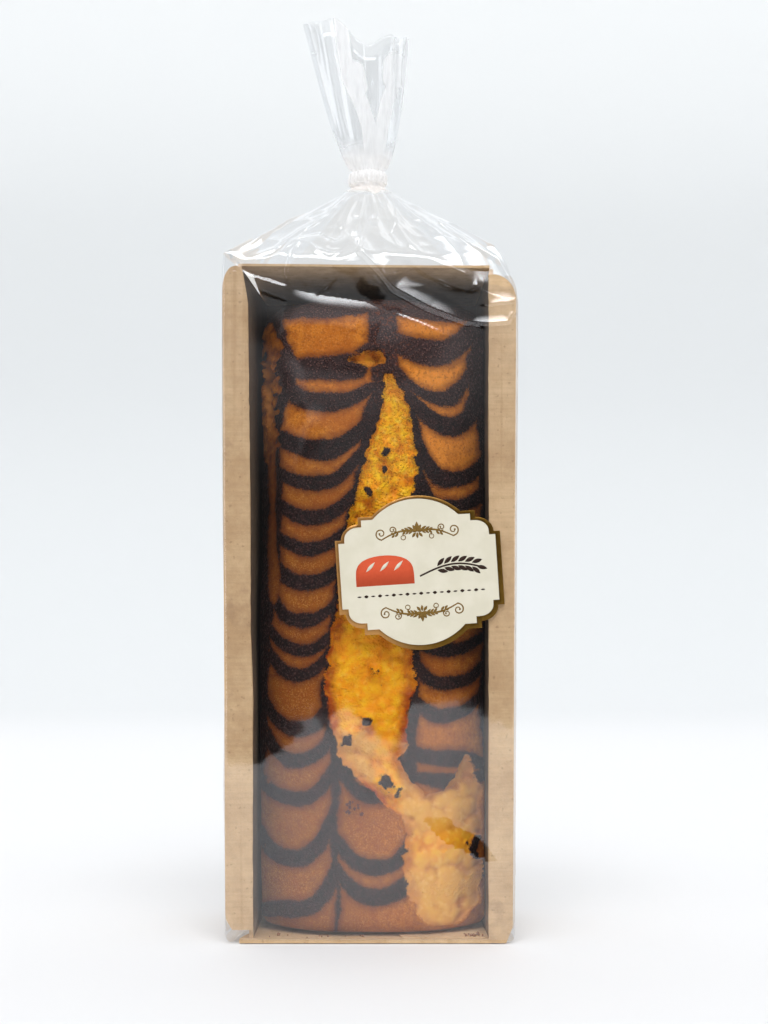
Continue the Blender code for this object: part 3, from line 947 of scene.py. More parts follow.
# %% Crumb
def crumb_colour(tree, where, medium, inside):
    """Yellow crumb: painted highlights in light patches, painted shade in its pits and low on the
    loaf, and brown along its edges, most low in the crack. Pale torn crumb and toasted crumb each
    have two colours of their own, the darker one painted shade in their pits."""
    height = tree.axes(where)["Z"]
    soft = tree.noise(where, 260.0, 4.0, 0.6)
    inner = tree.blend(tree.step(soft, 0.36, 0.66), srgb(250, 160, 0), srgb(255, 200, 14))
    # Painted highlights: lighter patches that stand for light on the clumps.
    inner = tree.tint(inner, tree.step(medium, 0.5, 0.76), 0.45, srgb(255, 226, 96))
    # Painted shade: amber in the crumb's pits.
    pit_shade = tree.step(tree.value("pit_shade"), -0.1, 1.2)
    inner = tree.tint(inner, pit_shade, 0.6, srgb(216, 112, 0))
    # Painted shade: darker amber low on the loaf.
    low = tree.rest(tree.step(height, 0.10, 0.15))
    inner = tree.tint(inner, low, 0.4, srgb(224, 136, 0))
    pale = tree.times(tree.math("MINIMUM", tree.value("pale"), 1.0), 0.85)
    # Torn crumb: painted shade in its pits, and painted highlights.
    torn = tree.blend(pit_shade, srgb(218, 162, 80), srgb(172, 102, 42))
    torn = tree.tint(torn, tree.step(medium, 0.5, 0.7), 0.4, srgb(240, 198, 126))
    inner = tree.blend(pale, inner, torn)
    brown = tree.math("MULTIPLY_ADD", low, 0.6, 0.4)
    edge = tree.rest(tree.step(inside, 0.2, tree.span(low, 2.0, 5.4)))
    stain = tree.span(tree.step(tree.noise(where, 130.0, 3.0), 0.38, 0.62), 0.5, 1.3)
    brown = tree.math("MULTIPLY", brown, stain, clamp=True)
    rim = tree.blend(pale, srgb(164, 70, 6), srgb(212, 148, 74))
    inner = tree.tint(inner, edge, brown, rim)
    toasted = tree.times(tree.math("MINIMUM", tree.value("toast"), 1.0), 0.85)
    # Toasted crumb, darker in its pits as painted shade.
    inner = tree.blend(toasted, inner, tree.blend(pit_shade, srgb(226, 142, 62), srgb(130, 66, 36)))
    flecks = tree.step(tree.noise(where, 150.0, 2.0), 0.78, 0.82)
    return tree.tint(inner, flecks, 0.85, srgb(82, 44, 26))


# %% The cake's material
def make_cake():
    """Crust, chocolate over it by its depth, and crumb over both. The grit and the grain are
    stronger near the top, and fade where the crumb is bare."""
    material, tree, shader, where = new_material("cake")
    fine = tree.noise(where, 1900.0, 2.0)
    medium = tree.noise(where, 420.0, 3.0)
    broad = tree.noise(where, 60.0, 3.0)
    grit = tree.rest(tree.step(tree.cells(where, 1050.0), 0.1, 0.6))
    even = tree.times(tree.math("SUBTRACT", medium, 0.5), 1.3)
    fine_wobble = tree.times(tree.math("SUBTRACT", fine, 0.5), 2.0)
    wobble = tree.math("ADD", even, fine_wobble)
    cocoa = tree.math("ADD", tree.value("cocoa"), wobble)
    depth = tree.math("ADD", tree.value("crumb"), wobble)
    crust = crust_colour(tree, where, fine, medium, broad, cocoa)
    dark = tree.step(cocoa, -0.55, 0.55)
    baked = tree.blend(dark, crust, chocolate_colour(tree, where, fine, medium, grit))
    bare = tree.step(depth, -0.25, 0.35)
    inside = tree.math("ADD", tree.value("outline"), even)
    colour = tree.blend(bare, baked, crumb_colour(tree, where, medium, inside))
    fine_part = tree.times(fine, tree.span(bare, 0.6, 0.05))
    medium_part = tree.times(medium, tree.span(bare, 0.6, 0.12))
    moist = tree.times(tree.noise(where, 300.0, 1.5), tree.span(bare, 0.0, 0.4))
    height = tree.math("ADD", tree.math("ADD", medium_part, fine_part), moist)
    up = tree.axes(where)["Z"]
    coarse = tree.span(tree.step(up, 0.09, 0.2), 0.25, 0.9)
    crusty = tree.times(grit, dark, coarse)
    normal = tree.bump(tree.math("ADD", height, crusty), 0.0009, 0.85)
    connect(tree, shader, Base_Color=colour, Roughness=tree.span(dark, 0.75, 0.5), Normal=normal)
    shader.inputs["Specular IOR Level"].default_value = 0.22
    return material


CAKE = make_cake()
marble_loaf = build_loaf(CAKE)
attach(marble_loaf, "root")

# %% [markdown]
# ### Crumbs
#
# A few crumbs have come off. Most lie on the foot of the tray, in front of the loaf, and a small
# cluster is caught between the crust and the film. Each is a small ball pushed in and out at
# random. They are real geometry, because they are seen one by one.


# %% Loose crumbs
AT_RIGHT, ALONG_FOOT, ON_CRUST = 12, 12, 18  # how many crumbs lie in each place


def build_crumbs(materials):
    """Balls whose radius is size * (1 + noise): some at the right end of the tray's foot, some
    all along it, and a cluster on the crust."""
    random = np.random.default_rng(7)
    shells = Shells()
    tilt = np.linspace(0.15, math.pi - 0.15, 7)[::-1, None]
    turn = np.linspace(0, 2 * math.pi, 10)[None, :-1]
    ball = [np.sin(tilt) * np.cos(turn), np.sin(tilt) * np.sin(turn), np.cos(tilt) + 0 * turn]
    ball = np.stack(ball, axis=-1)
    for number in range(AT_RIGHT + ALONG_FOOT + ON_CRUST):
        size = random.uniform(0.22, 0.6)
        lump = ball * size * (1 + 0.35 * random.uniform(-1, 1, ball.shape[:2]))[..., None]
        on_foot = number < AT_RIGHT + ALONG_FOOT
        if number < AT_RIGHT:
            place = (random.normal(36.5, 2.4), random.uniform(-29, -25.4), 2.35 + size * 0.7)
        elif on_foot:
            place = (random.uniform(-36, 34), random.uniform(-29, -24), 1.75 + size * 0.7)
        else:
            place = (random.normal(-5.5, 1.6), -29.75, random.normal(47.5, 1.1))
        place = np.array(place).clip((-39, -29.8, 1.9), (39.6, -22, 60))
        shells.add(*tube_shell(lump + place), kind=0 if on_foot else 1)
    return shells.piece("crumbs", materials)


def make_crumb(name, dark, light):
    """Crumb, mottled between two colours and rough all over."""
    material, tree, shader, where = new_material(name)
    uneven = tree.noise(where, 1400.0, 3.0)
    normal = tree.bump(uneven, 0.0004, 0.8)
    connect(tree, shader, Base_Color=tree.blend(uneven, dark, light), Normal=normal)
    connect(tree, shader, Roughness=tree.span(uneven, 0.6, 0.8))
    return material


DARK_CRUMB = make_crumb("dark_crumb", srgb(112, 72, 48), srgb(176, 124, 84))
BAKED_CRUMB = make_crumb("baked_crumb", srgb(64, 20, 10), srgb(112, 46, 22))
crumbs = build_crumbs([DARK_CRUMB, BAKED_CRUMB])
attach(crumbs, "root")

# %% [markdown]
# ## The film bag
#
# The bag is one sheet of thin clear film. It is flat over the tray's open front, rounds the foot,
# rises over the tray's top as a pleated tent, passes through the neck and fans out. A cloth
# simulation would give soft folds, but packing film is stiff and creases sharply, so the folds
# are written as ridges along drawn lines. Each has a steep face and a soft one, and the crisp
# edge between them catches the light.

# %% Sizes of the film
FRONT_POINTS, SIDE_POINTS, BACK_POINTS, CORNER_POINTS = 190, 28, 48, 5
FRONT_HALF, BACK_HALF_FILM = 52.25, 44.0
BOX_HALF_X, BOX_HALF_Y = 52.0, 33.05  # no fold stands out further than the frame's box
FOOT_NARROW = 1.25
GATHER = 210.0
SHOULDER = 242.5
ROUND_OVER = 1.3  # how far from the shoulder its rounding starts
ROUND_SLOPE = math.tan(0.35)
NECK_LOW, NECK_HIGH, NECK_RADIUS, NECK_X = 273.5, 280.5, 6.0, -1.0
FAN_TOP, FAN_HALF_WIDTH, FAN_HALF_DEPTH, FAN_LEAN = 326.8, 19.0, 10.6, -4.5
LOBES = ((-18.0, 11.5, 9.3), (10.0, 8.0, 3.6))  # middle, half width and height of each lobe


# %% The bag's section
def corner_points(corner, before, after, radius, count):
    """An arc that rounds one corner of the bag's section."""
    back = (before - corner) / np.linalg.norm(before - corner)
    forward = (after - corner) / np.linalg.norm(after - corner)
    half_angle = math.acos(float(back @ forward)) / 2
    bisector = (back + forward) / np.linalg.norm(back + forward)
    centre = corner + bisector * radius / math.sin(half_angle)
    start = corner + back * radius / math.tan(half_angle) - centre
    turn = (math.pi - 2 * half_angle) * np.linspace(0, 1, count + 1)
    x = centre[0] + start[0] * np.cos(turn) - start[1] * np.sin(turn)
    y = centre[1] + start[0] * np.sin(turn) + start[1] * np.cos(turn)
    return np.stack([x, y], axis=-1)


def film_section():
    """The rounded trapezoid of the bag round the tray, anticlockwise from above."""
    front = [(-FRONT_HALF, FILM_FRONT), (FRONT_HALF, FILM_FRONT)]
    corners = np.array([*front, (BACK_HALF_FILM, FILM_BACK), (-BACK_HALF_FILM, FILM_BACK)])
    radii = (1.5, 1.5, 4.0, 4.0)
    arcs = [
        corner_points(corners[i], corners[i - 1], corners[(i + 1) % 4], radii[i], CORNER_POINTS)
        for i in range(4)
    ]
    parts = []
    for i, count in enumerate((FRONT_POINTS, SIDE_POINTS, BACK_POINTS, SIDE_POINTS)):
        start, end = arcs[i][-1], arcs[(i + 1) % 4][0]
        share = np.linspace(0, 1, count + 1)[1:-1, None]
        parts += [arcs[i], mix(start, end, share)]
    return np.concatenate(parts)


SECTION = film_section()
ANGLE = np.arctan2(SECTION[:, 1] - MIDDLE_Y, SECTION[:, 0])[None, :]


# %% Where the film leaves the tray
def peak(turns):
    """A wave with sharp crests and round dales: 1 - |sin|."""
    return 1 - np.abs(np.sin(turns))


def shoulder_drop(x):
    """The film leaves the tray lower round the right corner."""
    return 16.0 * ramp(x, 20, 50)


def shoulder_wave(x):
    """It leaves the tray unevenly all along."""
    return 2.2 * np.abs(hills(x, 0 * x, 90, 13.0)) * ramp(50 - np.abs(x), 0, 6)


# %% Rings up to the neck
def body_rings():
    """From the flat foot, round its edge, and up to where the film starts to gather. The rings
    are closer where the film has folds and tilts."""
    foot = [0.0, 0.25, 0.9, 1.9, 3.0, 7.0, 12.0, 17.0]
    folds = [np.linspace(20, 46, 18), np.linspace(49, 97, 17)]
    plain = [np.linspace(103, 162, 6), np.linspace(167, GATHER, 14)[:-1]]
    z = np.concatenate([foot, *folds, *plain])[:, None]
    inset = np.interp(z, [0, 0.25, 0.9, 1.9, 3.0], [2.5, 1.6, 0.75, 0.2, 0.0])
    narrow = FOOT_NARROW * (1 - z / GATHER) + inset
    x = SECTION[None, :, 0] * (1 - narrow / FRONT_HALF)
    y = MIDDLE_Y + (SECTION[None, :, 1] - MIDDLE_Y) * (1 - inset / 32)
    return np.stack([x, y, np.broadcast_to(z, x.shape)], axis=-1)


def gather_rings(share):
    """Upright film between the body and its uneven shoulder."""
    x = np.broadcast_to(SECTION[None, :, 0], (len(share), len(SECTION)))
    y = np.broadcast_to(SECTION[None, :, 1], x.shape)
    z = mix(GATHER, SHOULDER - shoulder_drop(x) - shoulder_wave(x), share)
    return np.stack([x, y, z], axis=-1)


def tent_rings(share):
    """The tent: straight lines from the shoulder to the neck."""
    base = gather_rings(np.ones((1, 1)))[0]
    start = base[None, :, 0]
    z = mix(SHOULDER, NECK_LOW, share) - shoulder_drop(start) * np.exp(-share / 0.08) * (1 - share)
    z = z - shoulder_wave(start) * (1 - share) ** 2
    x = mix(base[None, :, 0], NECK_X + NECK_RADIUS * np.cos(ANGLE), share)
    y = mix(base[None, :, 1], MIDDLE_Y + NECK_RADIUS * np.sin(ANGLE), share)
    return np.stack([x, y, z], axis=-1)


def neck_rings(share):
    """The neck: circles whose radius dips in twisted pleats between the ends."""
    z = mix(NECK_LOW, NECK_HIGH, share)
    twist = ANGLE * 13 + share * 3.0
    radius = NECK_RADIUS - 0.55 * peak(twist) * np.sin(share * math.pi)
    x = NECK_X + radius * np.cos(ANGLE)
    y = MIDDLE_Y + radius * np.sin(ANGLE)
    return np.stack([x, y, np.broadcast_to(z, x.shape)], axis=-1)


# %% The fan
def fan_rim(x):
    """Height of the fan's edge: a dip between two lobes."""
    lobes = [lift * np.exp(-(((x - middle) / half) ** 4)) for middle, half, lift in LOBES]
    return FAN_TOP + sum(lobes)


def fan_rings(share, shrink=1.0):
    """The fan: it opens fast above the neck, and its pleats deepen towards the rim."""
    spread = share**0.62
    half_width = mix(NECK_RADIUS, FAN_HALF_WIDTH, spread)
    half_depth = mix(NECK_RADIUS, FAN_HALF_DEPTH, spread)
    pleats = 2.8 * peak(3 * ANGLE - 0.47) + 1.1 * peak(5 * ANGLE + 1.1) + 0.15 * peak(11 * ANGLE)
    out = pleats * share**0.8 - 1.9 * share
    small = 0.07 * np.sin(math.pi * share) ** 0.5 * ridges(ANGLE * 9, share * 40, 91, 6.0)
    x = NECK_X + FAN_LEAN * share + shrink * (half_width + out + small) * np.cos(ANGLE)
    y = MIDDLE_Y + shrink * (half_depth + out + small) * np.sin(ANGLE)
    edge = fan_rim(np.clip(x, -27, 16)) - 3.0 * ramp(MIDDLE_Y - y, -2, 9)
    z = mix(NECK_HIGH, edge, share)
    return np.stack([x, y, z], axis=-1)


# %% Folds in the film
# Each fold is a line across the front, as (x, height) points, then how far it stands out, how
# wide its steep face is and how wide its soft face, and whether the soft face is above (1) or
# below (-1) the line. The soft face is hollow, so its shine fades away from the line.
FOLDS = (
    (((-46, 236), (-38, 228.4), (-25.5, 224)), 1.0, 0.6, 3.6, 1),
    (((-28, 230.3), (-22, 228.6), (-15, 227.2), (-1.8, 225.4), (7, 221.9)), 1.6, 0.5, 10.0, -1),
    (((-28, 230.6), (-22, 228.9), (-15, 227.5), (-1.8, 225.7), (7, 222.2)), 0.3, 0.3, 0.8, 1),
    (((-8.8, 249.6), (-3.5, 242.6), (2.8, 236.3), (8.4, 229.3), (21, 222.6), (34, 217.7)),
     2.0, 1.2, 8.0, 1),
    (((34, 217.7), (42, 217.2), (48.3, 217.7), (50.8, 221.6)), 1.2, 0.8, 5.0, 1),
    (((-24.2, 247.5), (-28, 241.5), (-29.4, 235.6), (-28, 231)), 0.7, 0.8, 1.2, 1),
    (((41.3, 223.7), (45.5, 224.4), (50.4, 224.7)), 0.9, 0.6, 4.0, 1),
    (((35, 228.6), (37.8, 230.7), (41.3, 231.4)), 0.6, 0.5, 2.4, 1),
    (((14, 239), (19.3, 234.5), (26.3, 231), (31.5, 229.3)), 0.35, 0.6, 3.2, 1),
    (((24.5, 253), (35.7, 245), (44.5, 239.8), (50.4, 230.3)), 0.7, 0.7, 1.6, 1),
    (((-42, 245.4), (-31.5, 251.7), (-19.3, 259.7), (-8.8, 264.3)), 0.7, 0.8, 1.6, 1),
    (((-39.6, 241.5), (-33.3, 243.3), (-24.5, 249.9), (-18.2, 253)), 0.7, 0.7, 2.0, 1),
    (((-23.8, 248.2), (-17.5, 249.6), (-12.3, 246.8), (-8.8, 249.6)), 0.7, 0.6, 2.0, -1),
    (((-21.7, 246.8), (-18.9, 242.6), (-14, 241.2), (-9.8, 242.6)), 0.7, 0.6, 2.4, 1),
    (((8.8, 260.8), (9.8, 251.3), (14, 244.7), (17.5, 242.6)), 0.6, 0.7, 1.6, 1),
    (((10.5, 255.5), (7.7, 248.5), (9.8, 244.7)), 0.5, 0.6, 1.4, 1),
    (((0.7, 264.3), (-1.4, 259), (-3.5, 252)), 0.5, 0.6, 1.4, 1),
    (((-12, 233), (-20, 226), (-25.5, 224)), 0.5, 0.5, 2.0, 1),
    (((-4, 243), (2, 234.5), (7.7, 227.2)), 0.6, 0.8, 3.5, -1),
    (((-28, 213), (-25.5, 205), (-22.5, 196), (-22, 186), (-24, 178)), 0.35, 0.5, 3.0, -1),
    (((-21, 181), (-23, 172), (-27, 165)), 0.3, 0.4, 1.2, 1),
    (((41, 38), (45, 30), (51, 18)), 0.3, 0.4, 3.0, 1),
    (((44, 44), (48, 35), (51, 31)), 0.3, 0.4, 2.0, 1),
    (((20, 39.5), (26.5, 33.5), (41, 27.3), (47, 25.5)), 0.8, 0.3, 12.0, 1),
)  # fmt: skip

# %% A slight tilt of the flat film
# How far the flat film tilts at heights near 70 mm, as (x, radians). Where it leans back, what it
# mirrors is the dim room, and elsewhere the pale table, whose edge is so drawn up and down.
FILM_TILT = np.array(
    [
        (-45, 0.012), (-39, 0.009), (-20, -0.012), (-15, -0.004), (-8.5, -0.010), (-1.5, 0.0),
        (3.5, 0.009), (9.5, 0.017), (12, 0.012), (14.5, -0.009), (34, -0.005), (39, 0.0),
        (45, 0.006),
    ]
)  # fmt: skip


def tilt_relief(x, z):
    """The tilt times the height above 70 mm, held beyond 20 mm and then let out slowly."""
    tilt = np.interp(x, FILM_TILT[:, 0], FILM_TILT[:, 1])
    return -tilt * np.clip(z - 70, -20, 20) * (1 - ramp(np.abs(z - 70), 22, 68))


# %% Relief of the folds
def line_distance(x, z, line):
    """Signed distance to a line of straight lengths, above nought on its upper side, and how far
    along the line the nearest point is, from 0 to 1."""
    best = np.full(x.shape, 1e9)
    signed, place = np.zeros(x.shape), np.zeros(x.shape)
    for number, ((x0, z0), (x1, z1)) in enumerate(zip(line, line[1:])):
        dx, dz = x1 - x0, z1 - z0
        length = math.hypot(dx, dz)
        along = np.clip(((x - x0) * dx + (z - z0) * dz) / length**2, 0, 1)
        apart = np.hypot(x - x0 - along * dx, z - z0 - along * dz)
        side = np.sign(dx * (z - z0) - dz * (x - x0)) * (1 if dx >= 0 else -1)
        nearer = apart < best
        signed = np.where(nearer, apart * side, signed)
        place = np.where(nearer, (number + along) / (len(line) - 1), place)
        best = np.minimum(best, apart)
    return signed, place


def fold_relief(x, z):
    """All folds together. The steep face falls in a straight line from the crease. A soft face
    above the crease falls as (1 - gap/width)^2. One below it first swells to a round crown,
    1 - (1 - share)^3, and then dies away. Every fold dies away at both ends."""
    total = np.zeros(x.shape)
    for line, height, steep, soft, side in FOLDS:
        apart, place = line_distance(x, z, line)
        apart = apart * side
        ends = np.sin(math.pi * np.clip(place, 0.03, 0.97)) ** 0.4
        share = np.clip(apart / soft, 0, None)
        if side > 0:
            face = np.clip(1 - share, 0, 1) ** 2
            steep_face = np.clip(1 + apart / steep, 0, 1)
        else:
            face = np.where(share < 1, 1 - (1 - share) ** 3, 1 - ramp(share, 1.0, 2.6))
            steep_face = 0.0
        total = np.maximum(total, height * ends * np.where(apart > 0, face, steep_face))
    return total


# %% Milky creases
# Where the fan's film lies in many small creases: a line, its half width, and how white it is
MILKY_BANDS = (
    (((-10.3, 323.5), (-9.2, 313.6), (-7.6, 303.8)), 2.5, 1.0),
    (((-7.6, 303.8), (-3.2, 294.7), (-0.3, 286.0), (0.9, 272.8)), 2.7, 1.0),
    (((-5.5, 305.5), (-4.6, 300.0)), 3.8, 1.0),
    (((8.8, 308.2), (8.6, 303.0)), 4.2, 0.95),
    (((8.4, 301.5), (6.0, 294.5), (4.2, 286.0), (2.8, 276.0)), 2.5, 0.95),
    (((1.8, 283.5), (1.8, 266.0)), 3.2, 1.0),
    (((8.6, 316.5), (8.2, 306.0)), 0.5, 0.9),
    (((13.3, 316.4), (12.6, 309.4), (11.7, 294.7), (11.9, 289.0)), 1.0, 0.9),
    (((-22.8, 304.5), (-17.7, 293.7), (-15.2, 286.0)), 0.9, 0.8),
    (((-19.9, 311.9), (-19.2, 311.9)), 0.6, 0.8),
    (((-15.6, 288.0), (-12.4, 283.0), (-9.0, 276.0)), 0.5, 0.8),
    (((4.6, 273.0), (11.2, 284.0)), 0.8, 0.9),
)


def milkiness(x, z):
    """How white the film is, from 0 to 1: most at the neck and along the bands, and a little
    all over the fan."""
    white = 0.95 * (1 - ramp(z, 276.0, 284.0)) * ramp(z, 262.5, 265.5)
    white = np.maximum(white, 0.1 * ramp(z, 276, 284))
    for line, half, most in MILKY_BANDS:
        apart, _ = line_distance(x, z, line)
        white = np.maximum(white, most * ramp(half - np.abs(apart), -0.3, 0.4))
    return white


# %% Relief of the whole film
def on_front_film(x, y, z):
    """Where the camera sees a point, taken forward to the plane of the front film. The folds
    are drawn on that plane."""
    back_step = (y - FILM_FRONT) / CAMERA_DISTANCE
    seen_x = CAMERA_X + (x - CAMERA_X) / (1 + back_step)
    return seen_x, CAMERA_HEIGHT + (z - CAMERA_HEIGHT) / (1 + back_step)


def film_relief(x, y, z, in_front):
    """How far the film stands out in mm: the drawn folds, rays that run up the tent, small
    ridges where it is loose, faint ones and a slow wave where it is stretched, and a rounding
    of its shoulder, whose slope rises in a straight line to ROUND_SLOPE."""
    seen_x, seen_z = on_front_film(x, y, z)
    in_tent = ramp(z, SHOULDER - 20, SHOULDER) * (1 - ramp(z, NECK_LOW - 9, NECK_LOW))
    relief = fold_relief(seen_x, seen_z) * in_front * (1 - ramp(z, NECK_LOW - 6, NECK_LOW))
    rays = 0.5 * peak(ANGLE * 9 + 0.7) + 0.4 * peak(ANGLE * 14.5 + z / 50) + 0.8 * peak(ANGLE * 4)
    relief += 0.45 * (rays - 1.1) * in_tent * ramp(z, SHOULDER - 4, SHOULDER + 16)
    around = ANGLE * 30
    creases = 0.3 * (ridges(around, z, 92, 9.0) - 1) + 0.12 * ridges(around, z, 93, 4.0)
    relief += creases * in_tent
    loose = ramp(z, 205, 226) * (1 - ramp(z, 250, 262))
    relief += 0.09 * ridges(seen_x, seen_z * 0.7, 94, 13.0) * loose * in_front
    relief += 0.05 * ridges(x + y, z * 0.6, 95, 26.0) * (1 - loose)
    relief += (0.2 * hills(x, z, 97, 30.0) * (1 - loose) + tilt_relief(x, z)) * in_front
    from_shoulder = np.abs(z - (SHOULDER - shoulder_drop(x) - shoulder_wave(x)))
    over = np.clip(ROUND_OVER - from_shoulder, 0, None)
    return relief - over**2 * ROUND_SLOPE / (2 * ROUND_OVER) * in_front


# %% The whole bag
def build_film(material):
    """Rings from the foot to the fan's rim, and back down inside the fan. Only the rings below
    the neck get relief. Each point carries how milky the film is there."""
    gather, lining = np.linspace(0, 1, 60)[:, None], np.linspace(1, 0.12, 20)[:, None]
    tent, neck, fan = [np.linspace(0, 1, count)[1:, None] for count in (86, 10, 62)]
    below_neck = np.concatenate([body_rings(), gather_rings(gather), tent_rings(tent)])
    grid = np.concatenate([below_neck, neck_rings(neck), fan_rings(fan)])
    x, y, z = np.moveaxis(grid, -1, 0)
    in_front = 1 - ramp(y, MIDDLE_Y - 12, MIDDLE_Y + 2)
    relief = film_relief(x, y, z, in_front) * ramp(z, 0.0, 6.0)
    relief[len(below_neck) :] = 0
    milky = milkiness(*on_front_film(x, y, z))
    milky *= np.maximum(in_front, ramp(z, 264, 268) * mix(1, 0.4, ramp(z, 282, 288)))
    grid = grid + normals_of(grid) * relief[..., None]
    grid[..., 0] = grid[..., 0].clip(-BOX_HALF_X, BOX_HALF_X)
    grid[..., 1] = grid[..., 1].clip(-BOX_HALF_Y, BOX_HALF_Y)
    inner = fan_rings(lining, shrink=0.975) - [0, 0, 0.15]
    points, faces = tube_shell(np.concatenate([grid, inner]))
    milky = np.concatenate([milky.ravel(), np.zeros(len(points) - milky.size)])
    return make_piece("film", points, faces, [material], values={"milky": milky})


# %% [markdown]
# ### Film, the finish
#
# Clear film bends light hardly at all, because it is so thin. What shows is its reflection,
# about a tenth of the light when seen straight on, from its two faces together, and far more at
# a slant. So the shader is a mix of Transparent and a bright mirror. A Fresnel node would treat
# the inside of the bag as solid plastic and shut the light in, so Layer Weight shares them out,
# which is the same from both sides.


# %% Milky film over another shader
def lay_milk_over(material, tree, under, amount):
    """Lays milky film over a shader. Its small creases throw half of the light back, and let
    the other half through."""
    back = tree.node("ShaderNodeBsdfDiffuse", {"Color": (1.0, 1.0, 1.0, 1.0)})
    through = tree.node("ShaderNodeBsdfTranslucent", {"Color": (1.0, 1.0, 1.0, 1.0)})
    milk = tree.node("ShaderNodeMixShader", {0: 0.5, 1: back.outputs[0], 2: through.outputs[0]})
    mixed = tree.node("ShaderNodeMixShader", {0: amount, 1: under, 2: milk.outputs[0]})
    output = next(n for n in material.node_tree.nodes if n.type == "OUTPUT_MATERIAL")
    material.node_tree.links.new(mixed.outputs[0], output.inputs["Surface"])


# %% Clear film
FILM_MIRROR = 0.10  # share of the light that the film mirrors when seen straight on


def make_film():
    """Clear film: mostly see-through, and a mirror by FILM_MIRROR + 0.85 * slant^4."""
    material, tree, shader, where = new_material("clear_film_real")
    smear = tree.noise(where, 90.0, 3.0)
    crinkle = tree.noise(tree.stretch(where, (60, 60, 60)), 1.0, 2.0)
    normal = tree.bump(crinkle, 0.00035, 0.25)
    facing = tree.node("ShaderNodeLayerWeight", {"Blend": 0.5, "Normal": normal}).outputs["Facing"]
    slant = tree.math("POWER", facing, 4.0)
    share = tree.math("MULTIPLY_ADD", slant, 0.85, FILM_MIRROR)
    clear = tree.node("ShaderNodeBsdfTransparent", {"Color": (0.985, 0.988, 0.99, 1.0)})
    connect(tree, shader, Base_Color=(0.97, 0.98, 1.0, 1.0), Metallic=1.0)
    connect(tree, shader, Roughness=tree.span(smear, 0.02, 0.07), Normal=normal)
    mixed = tree.node("ShaderNodeMixShader", {0: share, 1: clear.outputs[0], 2: shader.outputs[0]})
    streaks = tree.noise(tree.stretch(where, (300, 300, 40)), 1.0, 3.0)
    milky = tree.times(tree.value("milky"), tree.span(tree.step(streaks, 0.35, 0.62), 0.75, 1.0))
    lay_milk_over(material, tree, mixed.outputs[0], milky)
    return material


FILM = make_film()
film = build_film(FILM)
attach(film, "root")
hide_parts("film_bag")

# %% [markdown]
# ## The band round the neck
#
# A strip of whitish clear tape is wound twice round the neck. The frame's plain ring has the
# right size, so the new piece keeps its place and gets the tape's laps and soft edges.


# %% Tape
def build_tape(material):
    """Rings round the neck: the radius follows the tape's section, with a lap that steps out."""
    turn = np.linspace(0, 2 * math.pi, 97)[:-1]
    low, height, inner, thick = 274.5, 5.0, 6.3, 0.75
    radial = np.array([0, 0.25, 0.6, 0.75, 0.62, 0.25, 0])[:, None]
    level = np.array([0.1, 0, 0.08, 0.5, 0.9, 1, 0.9])[:, None]
    lap = 0.18 * ramp(turn, 0.6, 0.7) - 0.18 * ramp(turn, 5.4, 5.9)
    wave = 0.2 * np.sin(turn * 9) + 0.1 * np.sin(turn * 17 + 1)
    radius = inner + 0.1 + radial / 0.75 * (thick + lap + wave * 0.6)
    tilt = 0.25 * np.sin(turn + 0.6) + 0.15 * wave
    z = low + 0.35 + (height - 0.7) * level + tilt
    x = NECK_X + radius * np.cos(turn)
    y = MIDDLE_Y + radius * np.sin(turn)
    grid = np.stack([x, y, z], axis=-1)
    quads = grid_quads(len(grid) + 1, len(turn), True) % (len(grid) * len(turn))
    return make_piece("neck_tape", grid, [quads], [material])


def make_tape():
    """Clear tape: a thin gloss, with milky film over it in short streaks."""
    material, tree, shader, where = new_material("clear_tape")
    streaks = tree.noise(tree.stretch(where, (700, 700, 300)), 1.0, 3.0)
    colour = tree.blend(streaks, srgb(252, 252, 253), srgb(255, 255, 255))
    normal = tree.bump(streaks, 0.0002, 0.4)
    connect(tree, shader, Base_Color=colour, Roughness=tree.span(streaks, 0.12, 0.3), Normal=normal)
    connect(tree, shader, Alpha=0.15)
    milky = tree.span(tree.step(streaks, 0.35, 0.7), 0.5, 0.95)
    lay_milk_over(material, tree, shader.outputs[0], milky)
    return material


neck_tape = build_tape(make_tape())
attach(neck_tape, "root")
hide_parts("neck_band")

# %% [markdown]
# ## The label
#
# The label is stiff cream paper, die cut to a plaque with an arched top and foot and a round ear
# at each corner, with a foil border. Its print is a scroll above and below, and in the middle a
# plain loaf and an ear of wheat. Print has no thickness to speak of, so each stroke is a ribbon
# a few hundredths of a millimetre thick that lies on the paper.

# %% Sizes of the label
LABEL_X, LABEL_Z = 17.4, 130.0
LABEL_TILT = math.radians(3.7)
LABEL_BACK = FILM_FRONT - 0.3
LABEL_THICK = 0.5
PRINT_FACE = LABEL_THICK - 0.09  # the paper inside the border lies lower, pressed by the foil
BORDER = 1.35
FOIL_SHIFT = (-0.3, 0.35)  # the foil is printed a little off the middle
HALF_WIDTH, SIDE_TOP = 28.9, 12.9
EAR_OUT, EAR_IN, EAR_TOP = 26.7, 20.5, 18.2
STEP_X, STEP_TOP, HALF_HEIGHT = 15.6, 20.6, 27.0


